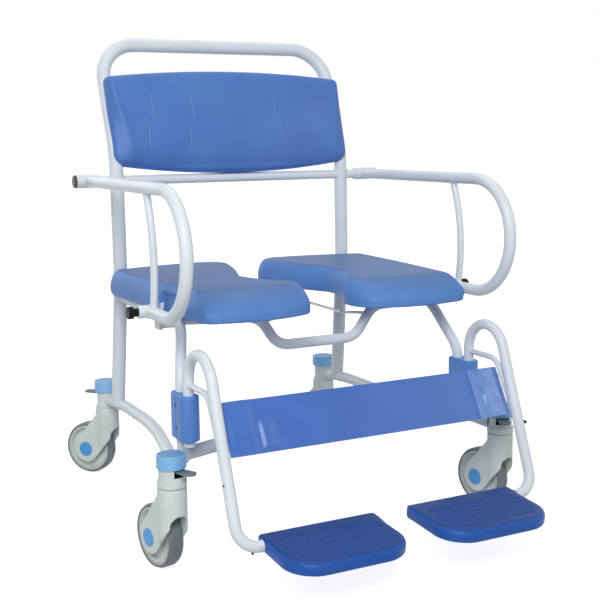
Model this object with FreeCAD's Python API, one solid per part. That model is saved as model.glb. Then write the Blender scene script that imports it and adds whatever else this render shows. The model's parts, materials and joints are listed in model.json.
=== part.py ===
import FreeCAD, Part
import math
import os

# Shower commode chair: a bent-tube frame on four castors, with a split seat, a reclined
# backrest, flip-up arms, swing-away footrests and a calf strap. Millimetres, +Z up.
# The sitter faces -Y and the sitter's left is +X. The origin is on the floor, in the
# middle of the overall box.

V = FreeCAD.Vector
AXIS_X = V(1, 0, 0)
AXIS_Z = V(0, 0, 1)
LEFT = 1
RIGHT = -1
SIDE_NAMES = {LEFT: "left", RIGHT: "right"}

# Tube stock
MAIN_OD = 31.8
RAIL_OD = 25.4
LEG_OD = 22.2
BASE_OD = 28.0
PIVOT_OD = 22.0
BRACE_OD = 15.0
CALF_OD = 12.0
TUBE_WALL = 2.0
THIN_WALL = 1.5
WIRE_D = 6.0
SHAFT_GAP = 0.06
BODY_GAP = 0.5

# Back frame: splayed feet, a waist, a reclined top and the push bar
UPRIGHT_X = 293.5
FOOT_X = 299.0
FOOT_Y = 361.0
WAIST_Y = 324.0
WAIST_Z = 500.0
WAIST_BEND = 400.0
RECLINE_Y = 328.0
RECLINE_Z = 785.0
RECLINE_BEND = 250.0
PUSH_Y = 430.0
PUSH_Z = 1037.0
PUSH_BEND = 87.0

# Side rails, front legs and cross tubes
RAIL_Z = 199.0
RAIL_REAR_Z = 187.0
RAIL_RISE_Y = 300.0
RAIL_RISE_BEND = 420.0
RAIL_SWEEP_Y = 105.0
RAIL_SWEEP = 900.0
RAIL_DROP_X = 348.5
RAIL_DROP_Y = -128.0
RAIL_DROP_BEND = 300.0
RAIL_END_Z = 184.0
LEG_X = 328.0
LEG_Y = -139.0
LEG_FOOT_Z = 187.0
LEG_KNEE_Z = 350.0
LEG_KNEE_BEND = 80.0
SEAT_RAIL_X = 297.0
SEAT_RAIL_Y = -70.0
SEAT_RAIL_Z = 454.0
SEAT_RAIL_BEND = 60.0
BASE_Z = 203.0
BASE_BOW_X = 200.0
BASE_BOW_Y = -95.0
BASE_BEND = 180.0
DIP_Y = -90.0
DIP_END_Y = -40.0
DIP_TOP_X = 135.0
DIP_BOTTOM_X = 92.0
DIP_BOTTOM_Z = 390.0
DIP_BEND = 48.0
PAN_RAIL_X = 84.0
PAN_RAIL_DROP = 14.0
PAN_RAIL_RUN = 36.0
PAN_RAIL_BEND = 24.0

# Castors
FRONT_CASTOR_X = 383.0
FRONT_CASTOR_Y = -223.5
REAR_CASTOR_X = 302.0
REAR_CASTOR_Y = 443.5
WHEEL_D = 125.0
WHEEL_W = 32.0
TREAD = 6.0
RIM_W = 29.0
WEB_T = 9.0
HUB_D = 34.0
AXLE_D = 10.0
HUB_CAP_D = 35.0
HUB_CAP_T = 3.0
HUB_GAP = 1.0
RIM_LIP = 6.0
RIM_SLOPE = 4.0
TYRE_EDGE = 3.0
TYRE_ROUND = 6.0
TRAIL = 50.0
FORK_TOP_Z = 170.0
FORK_NECK_D = 56.0
FORK_FRONT_Z = 104.0
FORK_SHOULDER = 8.0
FORK_SPINE = 10.0
FORK_ARCH_Z = 118.0
FORK_W = 50.0
FORK_WELL_W = 36.0
FORK_HUB_R = 33.0
WHEEL_GAP = 4.0
KING_PIN_D = 16.0
KING_PIN_L = 30.0
NECK_D = 50.0
NECK_TOP_Z = 213.0
NECK_ROOF = 2.0
CAP_D = 57.0
CAP_TOP_Z = 235.0
CAP_ROUND = 3.0
CAP_SKIRT = 4.0
RING_D = 57.0
RING_H = 12.0
RING_RISE = 3.0
SLEEVE_D = 46.0
SLEEVE_H = 18.0
SLEEVE_RISE = 6.0
SLEEVE_WALL = 3.0
LEVER_L = 60.0
LEVER_W = 26.0
LEVER_T = 5.0
LEVER_Z = 204.0
LEVER_PIN_D = 6.0
LEVER_HUB_D = 14.0
LEVER_ROOM = 1.0
LEVER_DROP = 4.0

# Arms
ARM_X = 361.0
ARM_Z = 724.0
ARM_LOOP_R = 122.0
ARM_FRONT_Y = -153.0
ARM_LOCK_Y = -61.0
ARM_SLEEVE_OD = 30.0
ARM_SLEEVE_L = 56.0
BRACE_TOP_Y = -64.0
BRACE_BOTTOM_Y = -88.0
BRACE_BOW = 22.0
PLUG_HEAD_T = 5.0
PLUG_SPIGOT_L = 14.0
LOCK_OD = 26.0
LOCK_IN = 13.0
LOCK_OUT = 23.0
PIN_D = 8.0
PIN_REACH = 11.0
PIN_PROUD = 2.0
KNOB_D = 25.0
KNOB_L = 12.0
KNOB_STEM_D = 17.0
KNOB_STEM_L = 9.0
KNOB_ROUND = 2.0
RECEIVER_T = 6.0
RECEIVER_W = 30.0
RECEIVER_TOP = 19.0
RECEIVER_FLARE = 7.0

# Footrests
HANGER_Y = -180.0
HANGER_BEND = 61.5
HANGER_TOP_Z = 419.0
HANGER_LEAN = 20.5
HANGER_PIN_Z = 230.0
HANGER_LOW_BEND = 42.0
BLOCK_LOW_Z = 241.0
BLOCK_TOP_Z = 331.0
BLOCK_R = 20.0
BLOCK_EDGE = 2.0
SPLIT_W = 3.0
SPLIT_DEPTH = 1.5
SPLIT_AHEAD = 22.0
SCREW_D = 7.0
SCREW_L = 12.0
SCREW_SUNK = 0.5
CALF_TOP_Z = 352.0
CALF_BEND_Y = -278.0
CALF_BEND = 40.0
CALF_FOOT_Z = 200.0
STAPLE_X = 306.0
STAPLE_BEND = 9.0
STAPLE_IN = 16.0
PLATE_AXIS_Z = 97.0
PLATE_OUTER_X = 281.0
PLATE_INNER_X = 36.0
PLATE_BACK = 26.0
PLATE_FRONT = 134.0
PLATE_T = 24.0
PLATE_CORNER = 62.0
PLATE_BACK_CORNER = 8.0
PLATE_TILT = 3.5
PLATE_PIN_D = 14.0
PLATE_PIN_L = 90.0
RIB_COUNT = 6
RIB_PITCH = 17.0
RIB_W = 5.0
RIB_DEPTH = 2.0
RIB_INSET = 26.0
RIB_FRONT_INSET = 46.0
PLATE_ROUND = 3.0

# Soft pieces
STRAP_END_GAP = 10.0
STRAP_T = 3.0
STRAP_FOLD = 64.0
STRAP_FOLD_T = 1.5
STRAP_H = 104.0
STRAP_TOP = 20.0
STRAP_FRONT = 5.0
STRAP_BACK = 4.0
BACK_HALF_W = 303.0
BACK_LOW_Z = 751.0
BACK_TOP_Z = 955.0
BACK_LOW_Y = 336.0
BACK_RECLINE = 14.6
BACK_T = 46.0
BACK_TOP_ARCH = 15.0
BACK_LOW_ARCH = 20.0
BACK_CORNER = 24.0
GROOVE_X = (110.0, 210.0)
GROOVE_D = 4.0
GROOVE_DEPTH = 1.2
GROOVE_BEND = 60.0
# Backrest from back to front: draw-in of the sides, draw-in of top and bottom, share of the depth
BACK_LEVELS = [(4, 4, 0.0), (0, 0, 0.3), (2, 1, 0.5), (12, 4, 0.78), (27, 12, 0.93), (62, 40, 1.0)]
# A groove's sway outward from its line, at shares of the backrest's height
GROOVE_SWAY = [(-10.0, 0.84), (-3.0, 0.72), (-6.0, 0.55), (8.0, 0.38), (11.0, 0.16)]
PAD_LOW_Z = 467.0
PAD_TOP_Z = 526.0


def side(point, hand):
    """The same point on the chosen side of the chair."""
    return V(point.x * hand, point.y, point.z)


def sides(points, hand):
    return [side(point, hand) for point in points]


def bent_wire(points, bends):
    """Straight runs joined by tangent arcs, one bend radius for each inner point."""
    edges = []
    start = points[0]
    for before, corner, after, radius in zip(points, points[1:], points[2:], bends):
        back = (before - corner).normalize()
        on = (after - corner).normalize()
        half = back.getAngle(on) / 2
        reach = radius / math.tan(half)
        leave = corner + back * reach
        arrive = corner + on * reach
        middle = corner + (back + on).normalize() * (radius / math.sin(half) - radius)
        if start.distanceToPoint(leave) > 1e-6:
            edges.append(Part.LineSegment(start, leave).toShape())
        edges.append(Part.Arc(leave, middle, arrive).toShape())
        start = arrive
    if start.distanceToPoint(points[-1]) > 1e-6:
        edges.append(Part.LineSegment(start, points[-1]).toShape())
    return Part.Wire(edges)


def disc(wire, radius):
    """Round face square to the start of a path."""
    first = wire.OrderedEdges[0]
    start = wire.OrderedVertexes[0].Point
    heading = first.tangentAt(first.FirstParameter)
    if start.distanceToPoint(first.valueAt(first.FirstParameter)) > 1e-6:
        heading = first.tangentAt(first.LastParameter)
    return Part.Face(Part.Wire(Part.makeCircle(radius, start, heading)))


def rod(wire, diameter):
    return wire.makePipe(disc(wire, diameter / 2))


def tube(wire, diameter, wall=TUBE_WALL):
    ring = disc(wire, diameter / 2).cut(disc(wire, diameter / 2 - wall))
    return wire.makePipe(ring.Faces[0])


def bar(start, end, diameter):
    return Part.makeCylinder(diameter / 2, start.distanceToPoint(end), start, end - start)


def pipe(start, end, outer, inner):
    return bar(start, end, outer).cut(bar(start, end, inner))


def trim(shape, *cutters):
    """The largest solid left after the cutters are taken out: a coped tube end."""
    left = shape.cut(list(cutters))
    return max(left.Solids, key=lambda solid: solid.Volume)


def fuse(first, *others):
    return first.fuse(list(others)).removeSplitter()


def revolved(profile, axis):
    """Solid turned about an axis through the origin from (radius, along) points in the XZ plane."""
    outline = Part.makePolygon([V(r, 0, h) for r, h in profile + profile[:1]])
    solid = Part.Face(outline).revolve(V(0, 0, 0), AXIS_Z, 360)
    return turned(solid, AXIS_Z, axis)


def turned(shape, old, new):
    """Copy of a shape turned so that one direction becomes another."""
    copy = shape.copy()
    copy.Placement = FreeCAD.Placement(V(0, 0, 0), FreeCAD.Rotation(old, new))
    return copy


def placed(shape, position, angle=0.0):
    """Copy of a shape turned about Z by an angle and moved to a position."""
    copy = shape.copy()
    spin = FreeCAD.Placement(position, FreeCAD.Rotation(AXIS_Z, angle))
    copy.Placement = spin.multiply(copy.Placement)
    return copy


def mirrored(shape, hand):
    """The left-hand shape, or its mirror image for the right."""
    return shape if hand == LEFT else shape.mirror(V(0, 0, 0), AXIS_X)


def polar(radius, degrees):
    return radius * math.cos(math.radians(degrees)), radius * math.sin(math.radians(degrees))


# Paths of the main tubes, on the left side where they come in pairs

def back_path():
    left = [
        V(FOOT_X, FOOT_Y, RAIL_Z),
        V(UPRIGHT_X, WAIST_Y, WAIST_Z),
        V(UPRIGHT_X, RECLINE_Y, RECLINE_Z),
        V(UPRIGHT_X, PUSH_Y, PUSH_Z),
    ]
    right = sides(reversed(left), RIGHT)
    half = [WAIST_BEND, RECLINE_BEND, PUSH_BEND]
    return bent_wire(left + right, half + half[::-1])


def pivot_y():
    """Depth of the uprights at the height of the arm pivots."""
    share = (ARM_Z - WAIST_Z) / (RECLINE_Z - WAIST_Z)
    return WAIST_Y + (RECLINE_Y - WAIST_Y) * share


def pivot_half():
    """Half length of the arm pivot tube, out to the end of the arm sleeve."""
    return ARM_X + ARM_SLEEVE_L / 2


def rail_path():
    return bent_wire(
        [
            V(REAR_CASTOR_X, REAR_CASTOR_Y, RAIL_REAR_Z),
            V(FOOT_X, RAIL_RISE_Y, RAIL_Z),
            V(FOOT_X, RAIL_SWEEP_Y, RAIL_Z),
            V(RAIL_DROP_X, RAIL_DROP_Y, RAIL_Z),
            V(FRONT_CASTOR_X, FRONT_CASTOR_Y, RAIL_END_Z),
        ],
        [RAIL_RISE_BEND, RAIL_SWEEP, RAIL_DROP_BEND],
    )


def upright_y(height):
    """Depth of the lower upright's axis at a height below the waist."""
    share = (height - RAIL_Z) / (WAIST_Z - RAIL_Z)
    return FOOT_Y + (WAIST_Y - FOOT_Y) * share


def leg_path():
    return bent_wire(
        [
            V(LEG_X, LEG_Y, LEG_FOOT_Z),
            V(LEG_X, LEG_Y, LEG_KNEE_Z),
            V(SEAT_RAIL_X, SEAT_RAIL_Y, SEAT_RAIL_Z),
            V(UPRIGHT_X, upright_y(SEAT_RAIL_Z), SEAT_RAIL_Z),
        ],
        [LEG_KNEE_BEND, SEAT_RAIL_BEND],
    )


def arm_path():
    low = ARM_Z - 2 * ARM_LOOP_R
    nose = ARM_FRONT_Y - ARM_LOOP_R
    return bent_wire(
        [
            V(ARM_X, pivot_y(), ARM_Z),
            V(ARM_X, nose, ARM_Z),
            V(ARM_X, nose, low),
            V(ARM_X, ARM_LOCK_Y, low),
        ],
        [ARM_LOOP_R, ARM_LOOP_R],
    )


def hanger_corner(turn):
    """Corner of the hanger's top bend, where its two half bends meet the straight runs."""
    half_turn = (180 - HANGER_LEAN) / 2
    reach, rise = polar(HANGER_BEND / math.cos(math.radians(half_turn / 2)), turn * half_turn)
    return V(LEG_X, HANGER_Y - HANGER_BEND + reach, HANGER_TOP_Z - HANGER_BEND + rise)


def hanger_y(height):
    """Depth of the hanger's long leg at a height."""
    corner = hanger_corner(1.5)
    return corner.y - (corner.z - height) * math.tan(math.radians(HANGER_LEAN))


def plate_axis_y():
    return hanger_y(PLATE_AXIS_Z)


def hanger_path():
    return bent_wire(
        [
            V(LEG_X, HANGER_Y, HANGER_PIN_Z),
            hanger_corner(0.5),
            hanger_corner(1.5),
            V(LEG_X, plate_axis_y(), PLATE_AXIS_Z),
            V(PLATE_OUTER_X + BODY_GAP, plate_axis_y(), PLATE_AXIS_Z),
        ],
        [HANGER_BEND, HANGER_BEND, HANGER_LOW_BEND],
    )


def calf_points():
    return [
        V(LEG_X, HANGER_Y, CALF_TOP_Z),
        V(LEG_X, CALF_BEND_Y, CALF_TOP_Z),
        V(LEG_X, hanger_y(CALF_FOOT_Z), CALF_FOOT_Z),
    ]


def calf_slope():
    """Unit vector down the sloping run of the calf tube, and the one square to it, forward."""
    top, bend, foot = calf_points()
    down = (foot - bend).normalize()
    return down, down.cross(AXIS_X)


# Frame

def back_frame():
    hole = bar(V(-pivot_half(), pivot_y(), ARM_Z), V(pivot_half(), pivot_y(), ARM_Z), PIVOT_OD)
    rails = [mirrored(rod(rail_path(), RAIL_OD), hand) for hand in (LEFT, RIGHT)]
    return trim(tube(back_path(), MAIN_OD), hole, *rails)


def pivot_tube():
    start = V(-pivot_half(), pivot_y(), ARM_Z)
    end = V(pivot_half(), pivot_y(), ARM_Z)
    return pipe(start, end, PIVOT_OD, PIVOT_OD - 2 * TUBE_WALL)


def pivot_plugs():
    """Domed plugs that close the pivot tube and keep the arm sleeves on."""
    face = pivot_half() + BODY_GAP
    mouth = V(face, pivot_y(), ARM_Z)
    spigot = bar(mouth - V(PLUG_SPIGOT_L, 0, 0), mouth, PIVOT_OD - 2 * TUBE_WALL)
    head = bar(mouth, mouth + V(PLUG_HEAD_T, 0, 0), ARM_SLEEVE_OD - 2 * BODY_GAP)
    rim = [edge for edge in head.Edges if edge.CenterOfMass.x > face + 1 and edge.Closed]
    plug = fuse(head.makeFillet(PLUG_HEAD_T * 0.6, rim), spigot)
    return Part.makeCompound([mirrored(plug, hand) for hand in (LEFT, RIGHT)])


def castor_core(x, y):
    """Ends of the upright room that a castor takes above its fork."""
    return V(x, y, FORK_TOP_Z), V(x, y, CAP_TOP_Z)


def side_rail(hand):
    front = bar(*castor_core(FRONT_CASTOR_X, FRONT_CASTOR_Y), RING_D)
    rear = bar(*castor_core(REAR_CASTOR_X, REAR_CASTOR_Y), SLEEVE_D)
    return mirrored(trim(tube(rail_path(), RAIL_OD), front, rear), hand)


def front_leg(hand):
    rail = rod(rail_path(), RAIL_OD)
    upright = rod(back_path(), MAIN_OD)
    return mirrored(trim(tube(leg_path(), LEG_OD), rail, upright), hand)


def front_cross_tube():
    half = [V(LEG_X, LEG_Y, BASE_Z), V(BASE_BOW_X, BASE_BOW_Y, BASE_Z)]
    wire = bent_wire(half + sides(reversed(half), RIGHT), [BASE_BEND, BASE_BEND])
    legs = [mirrored(rod(leg_path(), LEG_OD), hand) for hand in (LEFT, RIGHT)]
    rails = [mirrored(rod(rail_path(), RAIL_OD), hand) for hand in (LEFT, RIGHT)]
    return trim(tube(wire, BASE_OD), *legs, *rails)


def dip_path():
    half = [
        V(SEAT_RAIL_X, DIP_END_Y, SEAT_RAIL_Z),
        V(DIP_TOP_X, DIP_Y, SEAT_RAIL_Z),
        V(DIP_BOTTOM_X, DIP_Y, DIP_BOTTOM_Z),
    ]
    bends = [DIP_BEND, DIP_BEND]
    return bent_wire(half + sides(reversed(half), RIGHT), bends + bends)


def seat_front_tube():
    legs = [mirrored(rod(leg_path(), LEG_OD), hand) for hand in (LEFT, RIGHT)]
    return trim(tube(dip_path(), LEG_OD), *legs)


def seat_rear_path():
    back = upright_y(SEAT_RAIL_Z)
    return bent_wire([V(UPRIGHT_X, back, SEAT_RAIL_Z), V(-UPRIGHT_X, back, SEAT_RAIL_Z)], [])


def seat_rear_tube():
    legs = [mirrored(rod(leg_path(), LEG_OD), hand) for hand in (LEFT, RIGHT)]
    return trim(tube(seat_rear_path(), LEG_OD), rod(back_path(), MAIN_OD), *legs)


def pan_rails():
    """Wire runners for a pan, from the seat's rear tube to the arms of the dipped front tube."""
    low = SEAT_RAIL_Z - PAN_RAIL_DROP
    back = upright_y(SEAT_RAIL_Z)
    share = PAN_RAIL_DROP / (SEAT_RAIL_Z - DIP_BOTTOM_Z)
    arm_x = DIP_TOP_X + (DIP_BOTTOM_X - DIP_TOP_X) * share
    wire = bent_wire(
        [
            V(PAN_RAIL_X, back, SEAT_RAIL_Z),
            V(PAN_RAIL_X, back - PAN_RAIL_RUN, low),
            V(PAN_RAIL_X, DIP_Y + PAN_RAIL_RUN, low),
            V(arm_x, DIP_Y, low),
        ],
        [PAN_RAIL_BEND, PAN_RAIL_BEND],
    )
    rail = trim(rod(wire, WIRE_D), rod(seat_rear_path(), LEG_OD), rod(dip_path(), LEG_OD))
    return Part.makeCompound([mirrored(rail, hand) for hand in (LEFT, RIGHT)])


def castor_sockets():
    """Front rings and rear sleeves that the castor necks stand in."""
    front = V(FRONT_CASTOR_X, FRONT_CASTOR_Y, FORK_TOP_Z + RING_RISE)
    rear = V(REAR_CASTOR_X, REAR_CASTOR_Y, FORK_TOP_Z + SLEEVE_RISE)
    ring = pipe(front, front + V(0, 0, RING_H), RING_D, NECK_D)
    sleeve = pipe(rear, rear + V(0, 0, SLEEVE_H), SLEEVE_D, SLEEVE_D - 2 * SLEEVE_WALL)
    return Part.makeCompound([mirrored(s, hand) for s in (ring, sleeve) for hand in (LEFT, RIGHT)])


def receiver_x():
    """Inner face of the arm receiver plate, which the plunger reaches through."""
    return ARM_X - LOCK_IN - PIN_REACH + PIN_PROUD


def receiver(hand):
    """Plate on a stub from the seat rail, with a flared notch that the arm's pin drops into."""
    pin_z = ARM_Z - 2 * ARM_LOOP_R
    half = RECEIVER_W / 2
    notch = PIN_D / 2 + BODY_GAP
    mouth = notch + RECEIVER_FLARE
    low = SEAT_RAIL_Z - LEG_OD / 2
    top = pin_z + RECEIVER_TOP
    lean = RECEIVER_TOP * 2 * ARM_LOOP_R / (pivot_y() - ARM_LOCK_Y)
    x = receiver_x()
    seat = V(x, ARM_LOCK_Y, pin_z)
    rear_lip = seat + V(0, notch, 0)
    front_lip = seat - V(0, notch, 0)
    rim_points = [
        front_lip,
        V(x, ARM_LOCK_Y - mouth - lean, top),
        V(x, ARM_LOCK_Y - half - lean, top),
        V(x, ARM_LOCK_Y - half, low),
        V(x, ARM_LOCK_Y + half, low),
        V(x, ARM_LOCK_Y + half, top),
        V(x, ARM_LOCK_Y + mouth - lean, top),
        rear_lip,
    ]
    bottom = Part.Arc(rear_lip, seat - V(0, 0, notch), front_lip).toShape()
    outline = Part.Wire([bottom] + Part.makePolygon(rim_points).Edges)
    plate = Part.Face(outline).extrude(V(RECEIVER_T, 0, 0))
    stub = bar(V(SEAT_RAIL_X, ARM_LOCK_Y, SEAT_RAIL_Z), V(x, ARM_LOCK_Y, SEAT_RAIL_Z), LEG_OD)
    stub = trim(stub, rod(leg_path(), LEG_OD))
    return mirrored(fuse(plate, stub), hand)


# Arms

def arm_tube(hand):
    sleeve = bar(V(0, pivot_y(), ARM_Z), V(pivot_half(), pivot_y(), ARM_Z), ARM_SLEEVE_OD)
    lock = bar(*lock_ends(), LOCK_OD)
    return mirrored(trim(tube(arm_path(), RAIL_OD), sleeve, lock), hand)


def lock_ends():
    low = ARM_Z - 2 * ARM_LOOP_R
    return V(ARM_X - LOCK_IN, ARM_LOCK_Y, low), V(ARM_X + LOCK_OUT, ARM_LOCK_Y, low)


def arm_sleeves(hand):
    """Pivot sleeve at the back of the arm and the lock sleeve at its lower end."""
    inner = V(ARM_X - ARM_SLEEVE_L / 2, pivot_y(), ARM_Z)
    outer = V(ARM_X + ARM_SLEEVE_L / 2, pivot_y(), ARM_Z)
    pivot = pipe(inner, outer, ARM_SLEEVE_OD, PIVOT_OD + 2 * SHAFT_GAP)
    lock = pipe(*lock_ends(), LOCK_OD, PIN_D + 2 * SHAFT_GAP)
    return Part.makeCompound([mirrored(piece, hand) for piece in (pivot, lock)])


def arm_brace(hand):
    top = V(ARM_X, BRACE_TOP_Y, ARM_Z)
    low = V(ARM_X, BRACE_BOTTOM_Y, ARM_Z - 2 * ARM_LOOP_R)
    middle = (top + low) * 0.5 - V(0, BRACE_BOW, 0)
    wire = Part.Wire(Part.Arc(top, middle, low).toShape())
    lock = bar(*lock_ends(), LOCK_OD)
    brace = trim(tube(wire, BRACE_OD, THIN_WALL), rod(arm_path(), RAIL_OD), lock)
    return mirrored(brace, hand)


def plunger(hand):
    """Spring plunger: a pin through the lock sleeve and a stepped round knob."""
    inner, outer = lock_ends()
    tip = inner - V(PIN_REACH, 0, 0)
    stem = outer + V(BODY_GAP, 0, 0)
    head = stem + V(KNOB_STEM_L, 0, 0)
    knob = bar(head, head + V(KNOB_L, 0, 0), KNOB_D)
    knob = knob.makeFillet(KNOB_ROUND, [edge for edge in knob.Edges if edge.Closed])
    shape = fuse(bar(tip, head, PIN_D), bar(stem, head, KNOB_STEM_D), knob)
    return mirrored(shape, hand)


# Footrests

def block_outline(radius):
    """Stadium round the front leg and the hanger pin."""
    rear = V(LEG_X, LEG_Y, 0)
    front = V(LEG_X, HANGER_Y, 0)
    reach = V(radius, 0, 0)
    back_tip = rear + V(0, radius, 0)
    front_tip = front - V(0, radius, 0)
    return Part.Wire([
        Part.Arc(rear + reach, back_tip, rear - reach).toShape(),
        Part.LineSegment(rear - reach, front - reach).toShape(),
        Part.Arc(front - reach, front_tip, front + reach).toShape(),
        Part.LineSegment(front + reach, rear + reach).toShape(),
    ])


def screw_points():
    """Screw places on the outer flank of the block, over the clamped leg."""
    quarter = (BLOCK_TOP_Z - BLOCK_LOW_Z) / 4
    middle_y = (LEG_Y + HANGER_Y) / 2
    return [V(LEG_X + BLOCK_R, middle_y, BLOCK_LOW_Z + quarter * step) for step in (1, 3)]


def hinge_block(hand):
    """Moulded block, clamped on the front leg, that the hanger pin turns in."""
    height = BLOCK_TOP_Z - BLOCK_LOW_Z
    body = Part.Face(block_outline(BLOCK_R)).extrude(V(0, 0, height))
    body.translate(V(0, 0, BLOCK_LOW_Z))
    ends = [e for e in body.Edges if abs(e.tangentAt(e.FirstParameter).z) < 0.01]
    body = body.makeChamfer(BLOCK_EDGE, ends)
    leg = rod(leg_path(), LEG_OD)
    pin_low = V(LEG_X, HANGER_Y, BLOCK_LOW_Z - 1)
    pin = bar(pin_low, pin_low + V(0, 0, height + 2), LEG_OD + 2 * SHAFT_GAP)
    flank = LEG_X + BLOCK_R - SPLIT_DEPTH
    split = Part.makeBox(SPLIT_W, SPLIT_W, height, V(flank, LEG_Y - SPLIT_AHEAD, BLOCK_LOW_Z))
    holes = [bar(p, p - V(SCREW_L, 0, 0), SCREW_D) for p in screw_points()]
    return mirrored(trim(body, leg, pin, split, *holes), hand)


def block_screws():
    screws = [bar(p - V(SCREW_SUNK, 0, 0), p - V(SCREW_L, 0, 0), SCREW_D) for p in screw_points()]
    return Part.makeCompound([mirrored(screw, hand) for screw in screws for hand in (LEFT, RIGHT)])


def hanger_tube(hand):
    return mirrored(tube(hanger_path(), LEG_OD), hand)


def calf_tube(hand):
    """Thin tube on the hanger, and the wire bar behind it that the strap lies on."""
    hanger = rod(hanger_path(), LEG_OD)
    wire = bent_wire(calf_points(), [CALF_BEND])
    calf = trim(tube(wire, CALF_OD, THIN_WALL), hanger)
    down, forward = calf_slope()
    bend = calf_points()[1]
    start = bend + down * (STRAP_TOP + STAPLE_IN) - forward * STRAP_BACK
    end = start + down * (STRAP_H - 2 * STAPLE_IN)
    inward = V(STAPLE_X - LEG_X, 0, 0)
    staple = bent_wire([start, start + inward, end + inward, end], [STAPLE_BEND, STAPLE_BEND])
    bar_piece = trim(rod(staple, WIRE_D), rod(wire, CALF_OD))
    return Part.makeCompound([mirrored(piece, hand) for piece in (calf, bar_piece)])


def plate_pin(hand):
    """Pin fixed in the hanger's end, on which the footplate flips up."""
    mouth = V(PLATE_OUTER_X + BODY_GAP, plate_axis_y(), PLATE_AXIS_Z)
    tip = V(PLATE_OUTER_X - PLATE_PIN_L, plate_axis_y(), PLATE_AXIS_Z)
    bend_end = V(LEG_X - HANGER_LOW_BEND, plate_axis_y(), PLATE_AXIS_Z)
    root = bar(mouth, bend_end, LEG_OD - 2 * TUBE_WALL)
    pin = bar(mouth, tip, PLATE_PIN_D)
    return mirrored(fuse(pin, root), hand)


def plate_outline():
    """Footplate seen from above, with its flip axis on the X axis of the sketch."""
    back = PLATE_BACK
    front = -PLATE_FRONT
    corners = [
        (V(PLATE_OUTER_X, back, 0), PLATE_BACK_CORNER),
        (V(PLATE_INNER_X, back, 0), PLATE_BACK_CORNER),
        (V(PLATE_INNER_X, front, 0), PLATE_CORNER),
        (V(PLATE_OUTER_X, front, 0), PLATE_CORNER),
    ]
    middle = (corners[3][0] + corners[0][0]) * 0.5
    points = [middle] + [point for point, radius in corners] + [middle]
    return bent_wire(points, [radius for point, radius in corners])


def footplate(hand):
    """Moulded plate with cross ribs on top and a bore along its back for the pin."""
    body = Part.Face(plate_outline()).extrude(V(0, 0, PLATE_T))
    body.translate(V(0, 0, -PLATE_T / 2))
    rims = [e for e in body.Edges if abs(e.CenterOfMass.z) > PLATE_T / 2 - 0.01]
    body = body.makeFillet(PLATE_ROUND, rims)
    length = PLATE_OUTER_X - PLATE_INNER_X
    grooves = []
    for step in range(RIB_COUNT):
        y = -PLATE_FRONT + RIB_INSET + step * RIB_PITCH
        inset = RIB_INSET if step else RIB_FRONT_INSET
        low = V(PLATE_INNER_X + inset, y, PLATE_T / 2 - RIB_DEPTH)
        grooves.append(Part.makeBox(length - 2 * inset, RIB_W, 2 * RIB_DEPTH, low))
    bore = bar(V(PLATE_OUTER_X + 1, 0, 0), V(PLATE_OUTER_X - PLATE_PIN_L - 1, 0, 0),
               PLATE_PIN_D + 2 * SHAFT_GAP)
    plate = trim(body, bore, *grooves)
    plate.rotate(V(0, 0, 0), AXIS_X, PLATE_TILT)
    plate.translate(V(0, plate_axis_y(), PLATE_AXIS_Z))
    return mirrored(plate, hand)


def calf_strap():
    """Strap across both footrests, on the calf tubes' sloping runs, with its ends folded double."""
    down, forward = calf_slope()
    half = LEG_X - CALF_OD / 2 - STRAP_END_GAP
    middle = calf_points()[1] + down * STRAP_TOP + forward * (STRAP_FRONT - STRAP_T / 2)

    def band(start, end, place, thickness):
        corner = V(start, place.y, place.z)
        along = V(end - start, 0, 0)
        drop = down * STRAP_H
        outline = [corner, corner + along, corner + along + drop, corner + drop, corner]
        return Part.Face(Part.makePolygon(outline)).extrude(forward * thickness)

    front = middle + forward * STRAP_T
    folds = [
        band(half - STRAP_FOLD, half, front, STRAP_FOLD_T),
        band(-half, STRAP_FOLD - half, front, STRAP_FOLD_T),
    ]
    return fuse(band(-half, half, middle, STRAP_T), *folds)


# Cushions

def back_outline(inset_side, inset_edge, depth):
    """Backrest seen from the front at one depth: straight sides, arched top and bottom."""
    half = BACK_HALF_W - inset_side
    height = (BACK_TOP_Z - BACK_LOW_Z) / math.cos(math.radians(BACK_RECLINE))
    low = inset_edge
    top = height - inset_edge
    corner = BACK_CORNER
    cut = corner * (1 - math.sqrt(0.5))

    def at(x, s):
        return V(x, -depth, s)

    return Part.Wire([
        Part.LineSegment(at(half, low + corner), at(half, top - corner)).toShape(),
        Part.Arc(at(half, top - corner), at(half - cut, top - cut), at(half - corner, top)).toShape(),
        Part.Arc(at(half - corner, top), at(0, top + BACK_TOP_ARCH), at(corner - half, top)).toShape(),
        Part.Arc(at(corner - half, top), at(cut - half, top - cut), at(-half, top - corner)).toShape(),
        Part.LineSegment(at(-half, top - corner), at(-half, low + corner)).toShape(),
        Part.Arc(at(-half, low + corner), at(cut - half, low + cut), at(corner - half, low)).toShape(),
        Part.Arc(at(corner - half, low), at(0, low - BACK_LOW_ARCH), at(half - corner, low)).toShape(),
        Part.Arc(at(half - corner, low), at(half - cut, low + cut), at(half, low + corner)).toShape(),
    ])


def back_grooves():
    """Fine wavy grooves moulded down the front of the backrest, as thin bent rods to cut away."""
    height = (BACK_TOP_Z - BACK_LOW_Z) / math.cos(math.radians(BACK_RECLINE))
    cut = -BACK_T - GROOVE_D / 2 + GROOVE_DEPTH
    rods = []
    for x in GROOVE_X:
        for hand in (LEFT, RIGHT):
            points = [V((x + sway) * hand, cut, height * share) for sway, share in GROOVE_SWAY]
            bends = [GROOVE_BEND] * (len(points) - 2)
            rods.append(rod(bent_wire(points, bends), GROOVE_D))
    return rods


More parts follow.
